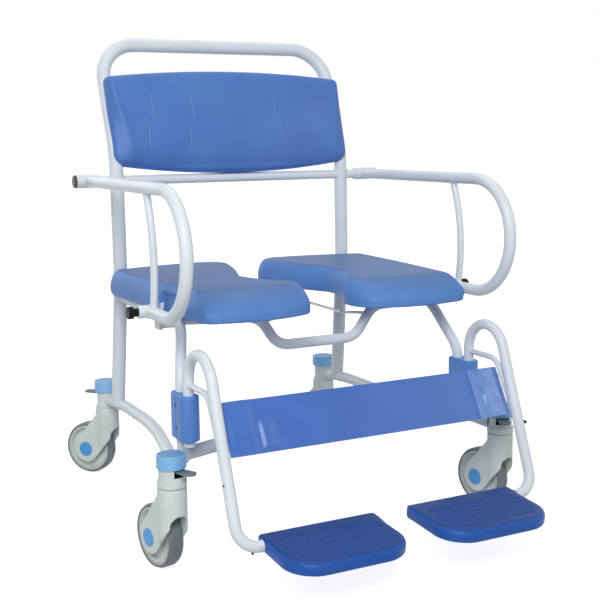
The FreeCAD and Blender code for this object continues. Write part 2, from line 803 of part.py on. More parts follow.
def backrest():
    """Moulded backrest: crowned front, bevelled sides, hollowed behind where the tubes lie."""
    wires = [back_outline(inset, edge, BACK_T * share) for inset, edge, share in BACK_LEVELS]
    body = trim(Part.makeLoft(wires, True, False), *back_grooves())
    body.rotate(V(0, 0, 0), AXIS_X, -BACK_RECLINE)
    body.translate(V(0, BACK_LOW_Y, BACK_LOW_Z))
    ends = [V(pivot_half() * hand, pivot_y(), ARM_Z) for hand in (LEFT, RIGHT)]
    cross = bar(*ends, PIVOT_OD + 4 * BODY_GAP)
    return trim(body, rod(back_path(), MAIN_OD + 2 * BODY_GAP), cross)


# Outline of a seat half from above, left side: place, the way it draws in, and how much of the
# sloping front it follows. Every second entry is the middle of an arc.
PAD_OUTLINE = [
    (V(336, 262, 0), V(1.0, 0.2, 0), 0.0),
    (V(326, 288, 0), V(0.7, 0.7, 0), 0.0),
    (V(296, 300, 0), V(0.2, 1.0, 0), 0.0),
    (V(205, 322, 0), V(0.1, 1.0, 0), 0.0),
    (V(100, 330, 0), V(0.0, 1.0, 0), 0.0),
    (V(52, 308, 0), V(-0.7, 0.7, 0), 0.0),
    (V(38, 255, 0), V(-1.0, 0.0, 0), 0.0),
    (V(62, 165, 0), V(-1.0, -0.3, 0), 0.0),
    (V(102, 70, 0), V(-1.0, -0.2, 0), 0.0),
    (V(100, -10, 0), V(-1.0, 0.3, 0), 0.0),
    (V(62, -92, 0), V(-1.0, 0.2, 0), 0.2),
    (V(50, -145, 0), V(-1.0, 0.0, 0), 0.5),
    (V(74, -194, 0), V(-0.7, -0.7, 0), 0.8),
    (V(168, -222, 0), V(0.0, -1.0, 0), 1.0),
    (V(262, -213, 0), V(0.1, -1.0, 0), 1.0),
    (V(293, -202, 0), V(0.7, -0.7, 0), 1.0),
    (V(304, -170, 0), V(1.0, -0.1, 0), 1.0),
    (V(323, 40, 0), V(1.0, 0.0, 0), 0.3),
]
PAD_LEVELS = [(0.0, 7, 0), (0.2, 0, 0), (0.55, 1, 14), (0.85, 8, 36), (1.0, 20, 54)]


def pad_wire(share, inset, setback):
    height = PAD_LOW_Z + (PAD_TOP_Z - PAD_LOW_Z) * share
    points = []
    for place, outward, slope in PAD_OUTLINE:
        moved = place - outward * inset + V(0, setback * slope, height)
        points.append(moved)
    points.append(points[0])
    arcs = []
    for first in range(0, len(points) - 1, 2):
        arcs.append(Part.Arc(points[first], points[first + 1], points[first + 2]).toShape())
    return Part.Wire(arcs)


def seat_pad(hand):
    """Moulded seat half with a sloping front and an inner edge hollowed for the opening."""
    return mirrored(Part.makeLoft([pad_wire(*level) for level in PAD_LEVELS], True, False), hand)


# Castors, made at the origin with the wheel trailing along +Y

def castor_neck(lever_angle):
    """Housing above the fork, slotted for the brake lever, with the king pin below it."""
    low = FORK_TOP_Z + BODY_GAP
    neck = bar(V(0, 0, low), V(0, 0, NECK_TOP_Z), NECK_D)
    king = bar(V(0, 0, low), V(0, 0, low - KING_PIN_L), KING_PIN_D)
    wide = LEVER_W + 2 * LEVER_ROOM
    floor = LEVER_Z - LEVER_HUB_D / 2 - LEVER_DROP
    height = NECK_TOP_Z - NECK_ROOF - floor
    slot = Part.makeBox(wide, NECK_D, height, V(-wide / 2, -LEVER_HUB_D, floor))
    slot = placed(slot, V(0, 0, 0), lever_angle)
    cross = bar(V(-wide / 2, 0, LEVER_Z), V(wide / 2, 0, LEVER_Z), LEVER_PIN_D)
    return fuse(neck.cut(slot), king, placed(cross, V(0, 0, 0), lever_angle))


def rear_neck(lever_angle):
    """Castor neck turned down to the frame's sleeve, and further where the sleeve goes round it."""
    low = V(0, 0, FORK_TOP_Z + SLEEVE_RISE)
    mouth = low + V(0, 0, SLEEVE_H)
    end = V(0, 0, NECK_TOP_Z)
    room = pipe(low, mouth, NECK_D + 2, SLEEVE_D - 2 * SLEEVE_WALL)
    skim = pipe(mouth, end, NECK_D + 2, SLEEVE_D)
    return trim(castor_neck(lever_angle), room, skim)


def castor_cap():
    """Blue cap, a shallow cup with a rounded rim."""
    low = NECK_TOP_Z - CAP_SKIRT
    cap = bar(V(0, 0, NECK_TOP_Z), V(0, 0, CAP_TOP_Z), CAP_D)
    rim = [e for e in cap.Edges if e.Closed and e.CenterOfMass.z > CAP_TOP_Z - 1]
    cap = cap.makeFillet(CAP_ROUND, rim)
    skirt = pipe(V(0, 0, low), V(0, 0, NECK_TOP_Z), CAP_D, NECK_D)
    return fuse(cap, skirt)


def brake_lever():
    """Spoon-shaped pedal on a hub, pointing along +Y."""
    half = LEVER_W / 2
    hub = bar(V(-half, 0, LEVER_Z), V(half, 0, LEVER_Z), LEVER_HUB_D)
    low = LEVER_Z - LEVER_T / 2
    tip = LEVER_L - half
    outline = Part.Wire([
        Part.LineSegment(V(-half * 0.7, 0, low), V(-half, tip, low)).toShape(),
        Part.Arc(V(-half, tip, low), V(0, LEVER_L, low), V(half, tip, low)).toShape(),
        Part.LineSegment(V(half, tip, low), V(half * 0.7, 0, low)).toShape(),
        Part.LineSegment(V(half * 0.7, 0, low), V(-half * 0.7, 0, low)).toShape(),
    ])
    blade = Part.Face(outline).extrude(V(0, 0, LEVER_T))
    flat = [e for e in blade.Edges if abs(e.tangentAt(e.FirstParameter).z) < 0.5]
    rims = [e for e in flat if e.CenterOfMass.y > 1]
    blade = blade.makeFillet(LEVER_T * 0.35, rims)
    pin = bar(V(-LEVER_W, 0, LEVER_Z), V(LEVER_W, 0, LEVER_Z), LEVER_PIN_D + 2 * SHAFT_GAP)
    return trim(fuse(hub, blade), pin)


def tangent_point(point, centre, radius, way):
    """Where a line from a point touches a circle, in (along, height) pairs."""
    dy = point[0] - centre[0]
    dz = point[1] - centre[1]
    base = math.atan2(dz, dy)
    turn = way * math.acos(radius / math.hypot(dy, dz))
    return centre[0] + radius * math.cos(base + turn), centre[1] + radius * math.sin(base + turn)


def fork():
    """Moulded fork: a round neck running into two cheeks, arched in front over the wheel."""
    hub = (TRAIL, WHEEL_D / 2)
    neck_r = FORK_NECK_D / 2
    front_top = (-neck_r, FORK_TOP_Z)
    front = (-neck_r, FORK_FRONT_Z)
    rear = (FORK_SPINE, FORK_TOP_Z - FORK_SHOULDER)
    rear_top = (FORK_SPINE, FORK_TOP_Z)
    low = tangent_point(front, hub, FORK_HUB_R, 1)
    high = tangent_point(rear, hub, FORK_HUB_R, -1)
    bottom = (hub[0] + FORK_HUB_R * 0.5, hub[1] - FORK_HUB_R * math.sqrt(0.75))

    def at(pair):
        return V(-neck_r, pair[0], pair[1])

    profile = Part.Wire([
        Part.LineSegment(at(front_top), at(front)).toShape(),
        Part.LineSegment(at(front), at(low)).toShape(),
        Part.Arc(at(low), at(bottom), at(high)).toShape(),
        Part.LineSegment(at(high), at(rear)).toShape(),
        Part.LineSegment(at(rear), at(rear_top)).toShape(),
        Part.LineSegment(at(rear_top), at(front_top)).toShape(),
    ])
    flanks = Part.Face(profile).extrude(V(FORK_NECK_D, 0, 0))
    neck = bar(V(0, 0, 0), V(0, 0, FORK_TOP_Z), FORK_NECK_D)
    cheeks = Part.makeBox(FORK_W, TRAIL + FORK_HUB_R, FORK_TOP_Z, V(-FORK_W / 2, 0, 0))
    collar = bar(V(0, 0, FORK_ARCH_Z), V(0, 0, FORK_TOP_Z), FORK_NECK_D)
    body = fuse(flanks.common(fuse(neck, cheeks)), collar)
    axle_point = V(0, hub[0], hub[1])
    reach = V(FORK_W, 0, 0)
    half_well = V(FORK_WELL_W / 2, 0, 0)
    well = bar(axle_point - half_well, axle_point + half_well, WHEEL_D + 2 * WHEEL_GAP)
    crown = V(0, -FORK_NECK_D, FORK_ARCH_Z - FORK_WELL_W / 2)
    arch = bar(crown, crown + V(0, FORK_NECK_D + TRAIL, 0), FORK_WELL_W)
    mouth = Part.makeBox(FORK_WELL_W, FORK_NECK_D + TRAIL, crown.z, V(-FORK_WELL_W / 2, crown.y, 0))
    bore = bar(axle_point - reach, axle_point + reach, AXLE_D)
    king_floor = FORK_TOP_Z - KING_PIN_L - BODY_GAP
    king = bar(V(0, 0, king_floor), V(0, 0, FORK_TOP_Z), KING_PIN_D + 2 * SHAFT_GAP)
    return trim(body, well, arch, mouth, bore, king)


def axle():
    """Axle pin with a round cap on each cheek."""
    centre = V(0, TRAIL, WHEEL_D / 2)
    half = V(FORK_W / 2, 0, 0)
    thick = V(HUB_CAP_T, 0, 0)
    pieces = [bar(centre - half, centre + half, AXLE_D)]
    for way in (1, -1):
        cap = bar(centre + half * way, centre + half * way + thick * way, HUB_CAP_D)
        outer = [e for e in cap.Edges if e.Closed and abs(e.CenterOfMass.x) > FORK_W / 2 + 1]
        pieces.append(cap.makeFillet(HUB_CAP_T * 0.6, outer))
    return Part.makeCompound(pieces)


def at_axle(shape):
    copy = shape.copy()
    copy.translate(V(0, TRAIL, WHEEL_D / 2))
    return copy


def rim():
    bore = AXLE_D / 2 + SHAFT_GAP
    hub = HUB_D / 2
    web = WEB_T / 2
    edge = WHEEL_D / 2 - TREAD
    lip = edge - RIM_LIP
    half = RIM_W / 2
    hub_half = FORK_WELL_W / 2 - HUB_GAP
    profile = [
        (bore, -hub_half), (hub, -hub_half),
        (hub + RIM_SLOPE, -web), (lip - RIM_SLOPE, -web),
        (lip, -half), (edge, -half), (edge, half), (lip, half),
        (lip - RIM_SLOPE, web), (hub + RIM_SLOPE, web),
        (hub, hub_half), (bore, hub_half),
    ]
    return at_axle(revolved(profile, AXIS_X))


def tyre():
    inner = WHEEL_D / 2 - TREAD
    outer = WHEEL_D / 2
    half = WHEEL_W / 2
    shoulder = half - TYRE_EDGE / 3
    profile = [
        (inner, -RIM_W / 2), (inner + TYRE_EDGE, -half), (outer - TYRE_EDGE, -shoulder),
        (outer, TYRE_ROUND - half), (outer, half - TYRE_ROUND),
        (outer - TYRE_EDGE, shoulder), (inner + TYRE_EDGE, half), (inner, RIM_W / 2),
    ]
    return at_axle(revolved(profile, AXIS_X))


# Place, wheel heading and brake-lever heading of each castor, degrees about +Z from +Y
CASTORS = {
    "front_left": (V(FRONT_CASTOR_X, FRONT_CASTOR_Y, 0), 11.0, 155.0),
    "front_right": (V(-FRONT_CASTOR_X, FRONT_CASTOR_Y, 0), 11.0, 205.0),
    "rear_left": (V(REAR_CASTOR_X, REAR_CASTOR_Y, 0), 40.0, -41.0),
    "rear_right": (V(-REAR_CASTOR_X, REAR_CASTOR_Y, 0), 40.0, 41.0),
}


def castor_parts():
    parts = {}
    necks = []
    caps = []
    for name, (place, heading, lever) in CASTORS.items():
        neck = castor_neck(lever) if name.startswith("front") else rear_neck(lever)
        necks.append(placed(neck, place))
        caps.append(placed(castor_cap(), place))
        parts["brake_lever_" + name] = placed(brake_lever(), place, lever)
        parts["fork_" + name] = placed(fork(), place, heading)
        parts["axle_" + name] = placed(axle(), place, heading)
        parts["rim_" + name] = placed(rim(), place, heading)
        parts["tyre_" + name] = placed(tyre(), place, heading)
    parts["castor_necks"] = Part.makeCompound(necks)
    parts["castor_caps"] = Part.makeCompound(caps)
    return parts


def all_parts():
    parts = {
        "back_frame": back_frame(),
        "arm_pivot_tube": pivot_tube(),
        "pivot_plugs": pivot_plugs(),
        "front_cross_tube": front_cross_tube(),
        "seat_front_tube": seat_front_tube(),
        "seat_rear_tube": seat_rear_tube(),
        "pan_rails": pan_rails(),
        "castor_sockets": castor_sockets(),
        "block_screws": block_screws(),
        "calf_strap": calf_strap(),
        "backrest": backrest(),
    }
    pairs = {
        "side_rail": side_rail,
        "front_leg": front_leg,
        "arm_receiver": receiver,
        "arm_tube": arm_tube,
        "arm_sleeves": arm_sleeves,
        "arm_brace": arm_brace,
        "arm_plunger": plunger,
        "hinge_block": hinge_block,
        "hanger_tube": hanger_tube,
        "calf_tube": calf_tube,
        "footplate_pin": plate_pin,
        "footplate": footplate,
        "seat_pad": seat_pad,
    }
    for name, make in pairs.items():
        for hand, word in SIDE_NAMES.items():
            parts[name + "_" + word] = make(hand)
    parts.update(castor_parts())
    return parts


os.makedirs("parts", exist_ok=True)
for node, shape in all_parts().items():
    shape.exportStep("parts/" + node + ".step")
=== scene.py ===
"""Looks of a shower commode chair, dressed around its CAD frame. Metres, +Z up, the sitter faces -Y."""
import json
import math

import bmesh
import bpy
from mathutils import Matrix, Vector, noise
from mathutils.bvhtree import BVHTree
from mathutils.geometry import interpolate_bezier

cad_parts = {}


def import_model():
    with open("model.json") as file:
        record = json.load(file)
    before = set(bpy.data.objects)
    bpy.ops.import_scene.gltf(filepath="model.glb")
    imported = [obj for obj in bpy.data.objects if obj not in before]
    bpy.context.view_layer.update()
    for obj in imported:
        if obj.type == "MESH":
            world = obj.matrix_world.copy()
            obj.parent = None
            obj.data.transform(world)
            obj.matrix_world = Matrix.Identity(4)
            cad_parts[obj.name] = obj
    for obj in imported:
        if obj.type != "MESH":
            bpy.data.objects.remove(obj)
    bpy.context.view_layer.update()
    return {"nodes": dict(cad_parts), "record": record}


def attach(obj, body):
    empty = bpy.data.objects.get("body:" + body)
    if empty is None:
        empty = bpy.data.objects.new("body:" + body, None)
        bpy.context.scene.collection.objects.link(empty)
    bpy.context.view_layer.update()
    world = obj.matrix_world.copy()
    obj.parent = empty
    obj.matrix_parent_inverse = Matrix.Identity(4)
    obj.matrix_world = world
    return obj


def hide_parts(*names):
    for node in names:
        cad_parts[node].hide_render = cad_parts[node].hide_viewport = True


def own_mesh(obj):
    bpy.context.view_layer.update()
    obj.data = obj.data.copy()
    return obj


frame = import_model()
nodes = frame["nodes"]

MM = 0.001
SIDES = {"left": 1, "right": -1}
CASTORS = ("front_left", "front_right", "rear_left", "rear_right")


# Colour and material

WHITE = (1.0, 1.0, 1.0, 1.0)
NOISE_LOW = 0.3
NOISE_HIGH = 0.7
CLOUD_SCALE = 9.0
CLOUD_DETAIL = 4.0
FINE_DETAIL = 3.0
GLOSS_DRIFT = 0.06
RELIEF_STRENGTH = 0.6
# How far up a surface must face before the painted light on its top begins
FACES_UP = 0.75


def srgb(red, green, blue):
    """A colour as a screen shows it, 0 to 255, as the linear values that a shader takes."""
    def linear(value):
        share = value / 255
        return share / 12.92 if share <= 0.04045 else ((share + 0.055) / 1.055) ** 2.4
    return (linear(red), linear(green), linear(blue), 1.0)


def add_node(tree, kind, **inputs):
    node = tree.nodes.new(kind)
    for name, value in inputs.items():
        node.inputs[name.replace("_", " ")].default_value = value
    return node


def grain_noise(tree, scale, detail=CLOUD_DETAIL):
    """Noise in the row frame, so that a grain has one size on every piece."""
    place = tree.nodes.new("ShaderNodeTexCoord")
    grain = add_node(tree, "ShaderNodeTexNoise", Scale=scale, Detail=detail)
    tree.links.new(place.outputs["Object"], grain.inputs["Vector"])
    return grain


def spread(tree, source, low, high):
    """Turns a noise into numbers between low and high."""
    span = add_node(tree, "ShaderNodeMapRange", From_Min=NOISE_LOW, From_Max=NOISE_HIGH,
                    To_Min=low, To_Max=high)
    tree.links.new(source.outputs["Fac"], span.inputs["Value"])
    return span


def painted_light_on_top(tree, colour, shade):
    """Paints light on a piece's top: where the surface faces up, it blends in a second colour that stands in
    for how light falls there.
    """
    place = tree.nodes.new("ShaderNodeNewGeometry")
    parts = tree.nodes.new("ShaderNodeSeparateXYZ")
    tree.links.new(place.outputs["Normal"], parts.inputs["Vector"])
    level = add_node(tree, "ShaderNodeMapRange", From_Min=FACES_UP, From_Max=1.0)
    tree.links.new(parts.outputs["Z"], level.inputs["Value"])
    blend = tree.nodes.new("ShaderNodeMix")
    blend.data_type = "RGBA"
    blend.inputs["B"].default_value = shade
    tree.links.new(colour, blend.inputs["A"])
    tree.links.new(level.outputs["Result"], blend.inputs["Factor"])
    return blend.outputs["Result"]


def finish_of(name, light, dark, roughness, grain, relief, patch=CLOUD_SCALE, above=None, **sockets):
    """A surface that drifts between two colours, with uneven gloss and a fine relief; a colour given as above
    is painted light on its upward faces.
    """
    made = bpy.data.materials.new(name)
    made.use_nodes = True
    tree = made.node_tree
    shader = tree.nodes["Principled BSDF"]
    for socket, value in sockets.items():
        shader.inputs[socket.replace("_", " ")].default_value = value
    cloud = grain_noise(tree, patch)
    blend = tree.nodes.new("ShaderNodeMix")
    blend.data_type = "RGBA"
    blend.inputs["A"].default_value = dark
    blend.inputs["B"].default_value = light
    tree.links.new(spread(tree, cloud, 0.0, 1.0).outputs["Result"], blend.inputs["Factor"])
    colour = blend.outputs["Result"]
    # Painted light on the top, in the colour given as above
    if above:
        colour = painted_light_on_top(tree, colour, above)
    tree.links.new(colour, shader.inputs["Base Color"])
    fine = grain_noise(tree, grain, FINE_DETAIL)
    gloss = spread(tree, fine, roughness - GLOSS_DRIFT, roughness + GLOSS_DRIFT)
    tree.links.new(gloss.outputs["Result"], shader.inputs["Roughness"])
    bump = add_node(tree, "ShaderNodeBump", Strength=RELIEF_STRENGTH, Distance=relief)
    tree.links.new(fine.outputs["Fac"], bump.inputs["Height"])
    tree.links.new(bump.outputs["Normal"], shader.inputs["Normal"])
    return made


PAINT = finish_of("white_paint", srgb(227, 235, 242), srgb(219, 227, 236), 0.34, 900, 0.00006,
                  Specular_IOR_Level=0.4)
# Greyer blue on the seat's upward faces: a painted reflection on its top
SEAT_SKIN = finish_of("seat_skin", srgb(90, 136, 203), srgb(80, 126, 195), 0.52, 1500, 0.00012,
                      above=srgb(80, 112, 164), Specular_IOR_Level=0.35)
BACK_SKIN = finish_of("back_skin", srgb(80, 124, 197), srgb(70, 114, 189), 0.52, 1500, 0.00012,
                      Specular_IOR_Level=0.45)
STRAP_VINYL = finish_of("strap_vinyl", srgb(66, 111, 192), srgb(58, 102, 184), 0.3, 2200, 0.00008,
                        Specular_IOR_Level=0.5)
# Vinyl for the strap's folded left end: its lighter colour is a painted highlight, its higher gloss is real
PAINTED_HIGHLIGHT_VINYL = finish_of("fold_vinyl_painted_highlight", srgb(104, 144, 212), srgb(84, 124, 198), 0.2, 2200, 0.0001, patch=34.0,
                       Specular_IOR_Level=0.7)
# Darker blue on the footplates' upward faces: painted shade on their tops
PLATE_PLASTIC = finish_of("plate_plastic", srgb(42, 94, 178), srgb(35, 84, 168), 0.36, 1800, 0.00012,
                          above=srgb(22, 66, 140), Specular_IOR_Level=0.2)
BLOCK_PLASTIC = finish_of("block_plastic", srgb(92, 142, 214), srgb(78, 128, 202), 0.46, 2400, 0.0002)
# Darker blue on the castor caps' upward faces: painted shade on their tops
CAP_PLASTIC = finish_of("cap_plastic", srgb(138, 196, 242), srgb(124, 184, 234), 0.42, 1800, 0.0002,
                        above=srgb(112, 164, 208))
HUB_PLASTIC = finish_of("hub_plastic", srgb(76, 164, 232), srgb(64, 152, 222), 0.36, 1500, 0.00008)
CASTOR_PLASTIC = finish_of("castor_plastic", srgb(222, 231, 229), srgb(211, 220, 217), 0.44, 1400, 0.0001)
TYRE_RUBBER = finish_of("tyre_rubber", srgb(122, 128, 134), srgb(106, 112, 118), 0.55, 1200, 0.00025)
LEVER_PLASTIC = finish_of("lever_plastic", srgb(112, 130, 134), srgb(98, 116, 120), 0.42, 1500, 0.0001)
# Black for the knobs and buttons, and also painted shade inside the brake slots
BLACK_PLASTIC_AND_SLOT_SHADE = finish_of("black_plastic_and_slot_shade", srgb(24, 24, 26), srgb(15, 15, 17), 0.45, 1800, 0.00012,
                          Specular_IOR_Level=0.15)
PLUG_PLASTIC = finish_of("plug_plastic", srgb(72, 58, 50), srgb(52, 42, 36), 0.5, 1500, 0.0001)
DARK_STEEL = finish_of("dark_steel", srgb(42, 42, 45), srgb(30, 30, 33), 0.38, 1600, 0.00005, Metallic=0.7)
PIN_STEEL = finish_of("pin_steel", srgb(188, 190, 196), srgb(172, 175, 182), 0.3, 1600, 0.00003, Metallic=1.0)
RAIL_CHROME = finish_of("rail_chrome", srgb(172, 172, 174), srgb(156, 156, 159), 0.2, 1200, 0.00002,
                        Metallic=1.0)
WELD_PAINT = finish_of("weld_paint", srgb(228, 234, 240), srgb(214, 220, 227), 0.4, 1400, 0.0002)
# Dark rings on the wheels: painted shade in the gap where a rim meets its tyre, and a dark line on the rim
# inside it
RIM_LINE_AND_GAP_SHADE = finish_of("rim_line_and_gap_shade", srgb(66, 68, 72), srgb(54, 56, 60), 0.6, 1200, 0.0001)

FINISHES = {
    "seat_foam": SEAT_SKIN,
    "back_foam": BACK_SKIN,
    "strap_vinyl": STRAP_VINYL,
    "plate_plastic": PLATE_PLASTIC,
    "block_plastic": BLOCK_PLASTIC,
    "cap_plastic": CAP_PLASTIC,
    "hub_plastic": HUB_PLASTIC,
    "castor_plastic": CASTOR_PLASTIC,
    "tyre_rubber": TYRE_RUBBER,
    "lever_plastic": LEVER_PLASTIC,
    "knob_plastic": BLACK_PLASTIC_AND_SLOT_SHADE,
    "plug_plastic": PLUG_PLASTIC,
    "screw_steel": DARK_STEEL,
    "pin_steel": PIN_STEEL,
    "rail_chrome": RAIL_CHROME,
    "frame_paint": PAINT,
}
SLOT_OF = {row["node"]: row["material_slot"] for row in frame["record"]["subparts"]}
JOINT_OF = {joint["name"]: joint for joint in frame["record"]["behaviour"]["joints"]}
BODY_OF = {node: body for body, members in frame["record"]["behaviour"]["bodies"].items() for node in members}
SHARP_ANGLE = 35
SKIN_ANGLE = 50
SLOT_LOW = 0.1925
SLOT_TOP = 0.2115
SLOT_R = 0.0225


def paint(piece, material):
    piece.data.materials.clear()
    piece.data.materials.append(material)


def shade(mesh, angle=SHARP_ANGLE):
    """Smooth shading, broken at edges sharper than the angle."""
    mesh.shade_smooth()
    mesh.set_sharp_from_angle(angle=math.radians(angle))


def paint_slot_shade():
    """Paints shade inside the brake slots in the castor necks: their inside faces are made black."""
    piece = nodes["castor_necks"]
    piece.data.materials.append(BLACK_PLASTIC_AND_SLOT_SHADE)
    posts = [Vector(JOINT_OF["swivel_" + castor]["pos_m"]) for castor in CASTORS]
    for face in piece.data.polygons:
        if not SLOT_LOW < face.center.z < SLOT_TOP:
            continue
        if min(math.hypot(face.center.x - post.x, face.center.y - post.y) for post in posts) < SLOT_R:
            face.material_index = 1


def grey_rings():
    """Gives the rings round the front castor necks the colour of the castors."""
    piece = nodes["castor_sockets"]
    piece.data.materials.append(CASTOR_PLASTIC)
    for face in piece.data.polygons:
        if face.center.y < 0:
            face.material_index = 1


def dress_frame():
    for name, piece in nodes.items():
        paint(piece, FINISHES[SLOT_OF[name]])
        shade(piece.data)
    # Painted shade inside the brake slots
    paint_slot_shade()
    grey_rings()


# Building blocks

RELAX = 0.5
MERGE_GAP = 0.01 * MM


def add_piece(name, mesh, body, slot, material):
    piece = bpy.data.objects.new(name, mesh)
    bpy.context.scene.collection.objects.link(piece)
    paint(piece, material)
    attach(piece, body)
    return piece


def mesh_of(name, build):
    """A mesh filled by a function that takes a bmesh."""
    work = bmesh.new()
    build(work)
    bmesh.ops.recalc_face_normals(work, faces=work.faces)
    mesh = bpy.data.meshes.new(name)
    work.to_mesh(mesh)
    work.free()
    mesh.shade_smooth()
    return mesh


def changed(mesh, add_modifiers):
    """A mesh after the modifiers that a function puts on it."""
    source = bpy.data.objects.new("source", mesh)
    bpy.context.scene.collection.objects.link(source)
    add_modifiers(source)
    ready = source.evaluated_get(bpy.context.evaluated_depsgraph_get())
    made = bpy.data.meshes.new_from_object(ready)
    bpy.data.objects.remove(source)
    made.shade_smooth()
    return made


def softened(mesh, voxel, rounds):
    """A closed copy of a mesh in small even faces, with its edges rounded off."""
    def add_modifiers(source):
        remesh = source.modifiers.new("even", "REMESH")
        remesh.mode = "VOXEL"
        remesh.voxel_size = voxel
        relax = source.modifiers.new("relax", "SMOOTH")
        relax.factor = RELAX
        relax.iterations = rounds
    return changed(mesh, add_modifiers)


def carved(mesh, cutter_mesh):
    """A mesh less the space that another one takes."""
    cutter = bpy.data.objects.new("cutter", cutter_mesh)
    bpy.context.scene.collection.objects.link(cutter)

    def add_modifiers(source):
        cut = source.modifiers.new("cut", "BOOLEAN")
        cut.operation = "DIFFERENCE"
        cut.solver = "MANIFOLD"
        cut.object = cutter
    made = changed(mesh, add_modifiers)
    bpy.data.objects.remove(cutter)
    return made


def put_for(node, mesh):
    """A piece with this mesh in a node's place."""
    slot = SLOT_OF[node]
    piece = add_piece(node + "_skin", mesh, BODY_OF[node], slot, FINISHES[slot])
    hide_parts(node)
    return piece


def soft_copy(node, voxel, rounds, refine=None):
    """Puts a softened copy in a node's place, after an optional change to its mesh."""
    mesh = nodes[node].data.copy()
    work = bmesh.new()
    work.from_mesh(mesh)
    bmesh.ops.remove_doubles(work, verts=work.verts, dist=MERGE_GAP)
    work.to_mesh(mesh)
    work.free()
    mesh = softened(mesh, voxel, rounds)
    if refine:
        refine(mesh)
    return put_for(node, mesh)


def moved(mesh, change):
    """Moves each vertex of a mesh to where a function puts it."""
    for vertex in mesh.vertices:
        vertex.co = change(vertex.co)


def bump_at(distance, width):
    """One at no distance, falling off smoothly over a width."""
    return math.exp(-(distance / width) ** 2)


def step_up(value, low, high):
    """Zero below low, one above high and a smooth rise between them."""
    share = min(max((value - low) / (high - low), 0.0), 1.0)
    return share * share * (3 - 2 * share)


def at_side(x, y, z, hand):
    """A point given in millimetres for the left side, in metres on the chosen one."""
    return Vector((x * hand, y, z)) * MM


def strand(work, points, radius_at, axis, closed, sides=8):
    """A round strand along points that go about an axis."""
    rings = []
    count = len(points)
    for index, point in enumerate(points):
        before = points[index - 1] if closed or index else point
        after = points[(index + 1) % count] if closed or index + 1 < count else point
        heading = (after - before).normalized()
        across = heading.cross(axis).normalized()
        up = across.cross(heading)
        ring = []
        for step in range(sides):
            angle = 2 * math.pi * step / sides
            spoke = across * math.cos(angle) + up * math.sin(angle)
            ring.append(work.verts.new(point + spoke * radius_at(index)))
        rings.append(ring)
    following = rings[1:] + rings[:1] if closed else rings[1:]
    for first, second in zip(rings, following):
        for step in range(sides):
            other = (step + 1) % sides
            work.faces.new((first[step], first[other], second[other], second[step]))
    if not closed:
        work.faces.new(rings[0])
        work.faces.new(rings[-1])


def circle(centre, axis, radius, count):
    across = axis.orthogonal().normalized()
    up = axis.normalized().cross(across)
    turns = [2 * math.pi * step / count for step in range(count)]
    return [centre + (across * math.cos(turn) + up * math.sin(turn)) * radius for turn in turns]


# Moulded pieces

PLATE_VOXEL = 1.8 * MM
PLATE_ROUNDS = 12
FORK_VOXEL = 1.5 * MM
FORK_ROUNDS = 6
SMALL_VOXEL = 1.1 * MM
SMALL_ROUNDS = 3
PLATE_AXIS = Vector((0.0, -0.40455, 0.097))
PLATE_TILT = math.radians(3.5)
PLATE_UP = Vector((0.0, -math.sin(PLATE_TILT), math.cos(PLATE_TILT)))
PLATE_AHEAD = Vector((0.0, -math.cos(PLATE_TILT), -math.sin(PLATE_TILT)))
PLATE_TOP = 12 * MM
PLATE_MIDDLE = Vector((0.1585, 0.054))
PLATE_HALF = Vector((0.1225, 0.080))
PLATE_CORNER = 0.062
PLATE_BACK_CORNER = 0.008
PLATE_ROLL = 0.012
ROLL_DROP = 0.6
ROLL_STARTS = -0.005
ROLL_FULL = 0.03
RIB_FIRST = 0.0205
RIB_COUNT = 6
RIB_PITCH = 0.017
RIB_RISE = 2.0 * MM
RIB_OUTER = 0.262
RIB_INNER = 0.056
RIB_CORNER = 0.02
RIB_END = 0.012
RIB_EDGE = 0.001
TREAD_LOW = PLATE_TOP - 0.006
TREAD_HIGH = PLATE_TOP - 0.004


def plate_rim(wide, ahead):
    """How far a place on a footplate lies inside its outline."""
    corner = PLATE_CORNER if ahead > PLATE_MIDDLE.y else PLATE_BACK_CORNER
    dx = abs(wide - PLATE_MIDDLE.x) - PLATE_HALF.x + corner
    dy = abs(ahead - PLATE_MIDDLE.y) - PLATE_HALF.y + corner
    outside = math.hypot(max(dx, 0.0), max(dy, 0.0))
    return corner - outside - min(max(dx, dy), 0.0)


def plate_detail(mesh):
    """Rolls the upper edge of a footplate over and rounds the ribs across its tread."""
    rib_start = RIB_FIRST - RIB_PITCH / 2
    rib_last = RIB_FIRST + RIB_COUNT * RIB_PITCH - RIB_PITCH / 2

    def change(point):
        up = (point - PLATE_AXIS).dot(PLATE_UP)
        ahead = (point - PLATE_AXIS).dot(PLATE_AHEAD)
        wide = abs(point.x)
        rim = min(max(plate_rim(wide, ahead), 0.0), PLATE_ROLL)
        roll = PLATE_ROLL - math.sqrt(PLATE_ROLL ** 2 - (PLATE_ROLL - rim) ** 2)
        drop = ROLL_DROP * roll * step_up(ahead, ROLL_STARTS, ROLL_FULL) * step_up(up, 0.0, PLATE_TOP)
        corner = RIB_CORNER * step_up(ahead, rib_last - RIB_PITCH, rib_last)
        inside = step_up(wide, RIB_INNER + corner, RIB_INNER + corner + RIB_END)
        inside *= step_up(RIB_OUTER - corner - wide, 0.0, RIB_END)
        inside *= step_up(ahead, rib_start - RIB_EDGE, rib_start + RIB_EDGE)
        inside *= step_up(rib_last - ahead, -RIB_EDGE, RIB_EDGE)
        inside *= step_up(up, TREAD_LOW, TREAD_HIGH)
        wave = math.cos((ahead - RIB_FIRST) / RIB_PITCH * 2 * math.pi)
        tread = PLATE_TOP - RIB_RISE * (0.5 + 0.5 * wave)
        return point + PLATE_UP * ((tread - up) * inside - drop * (1 - inside))
    moved(mesh, change)


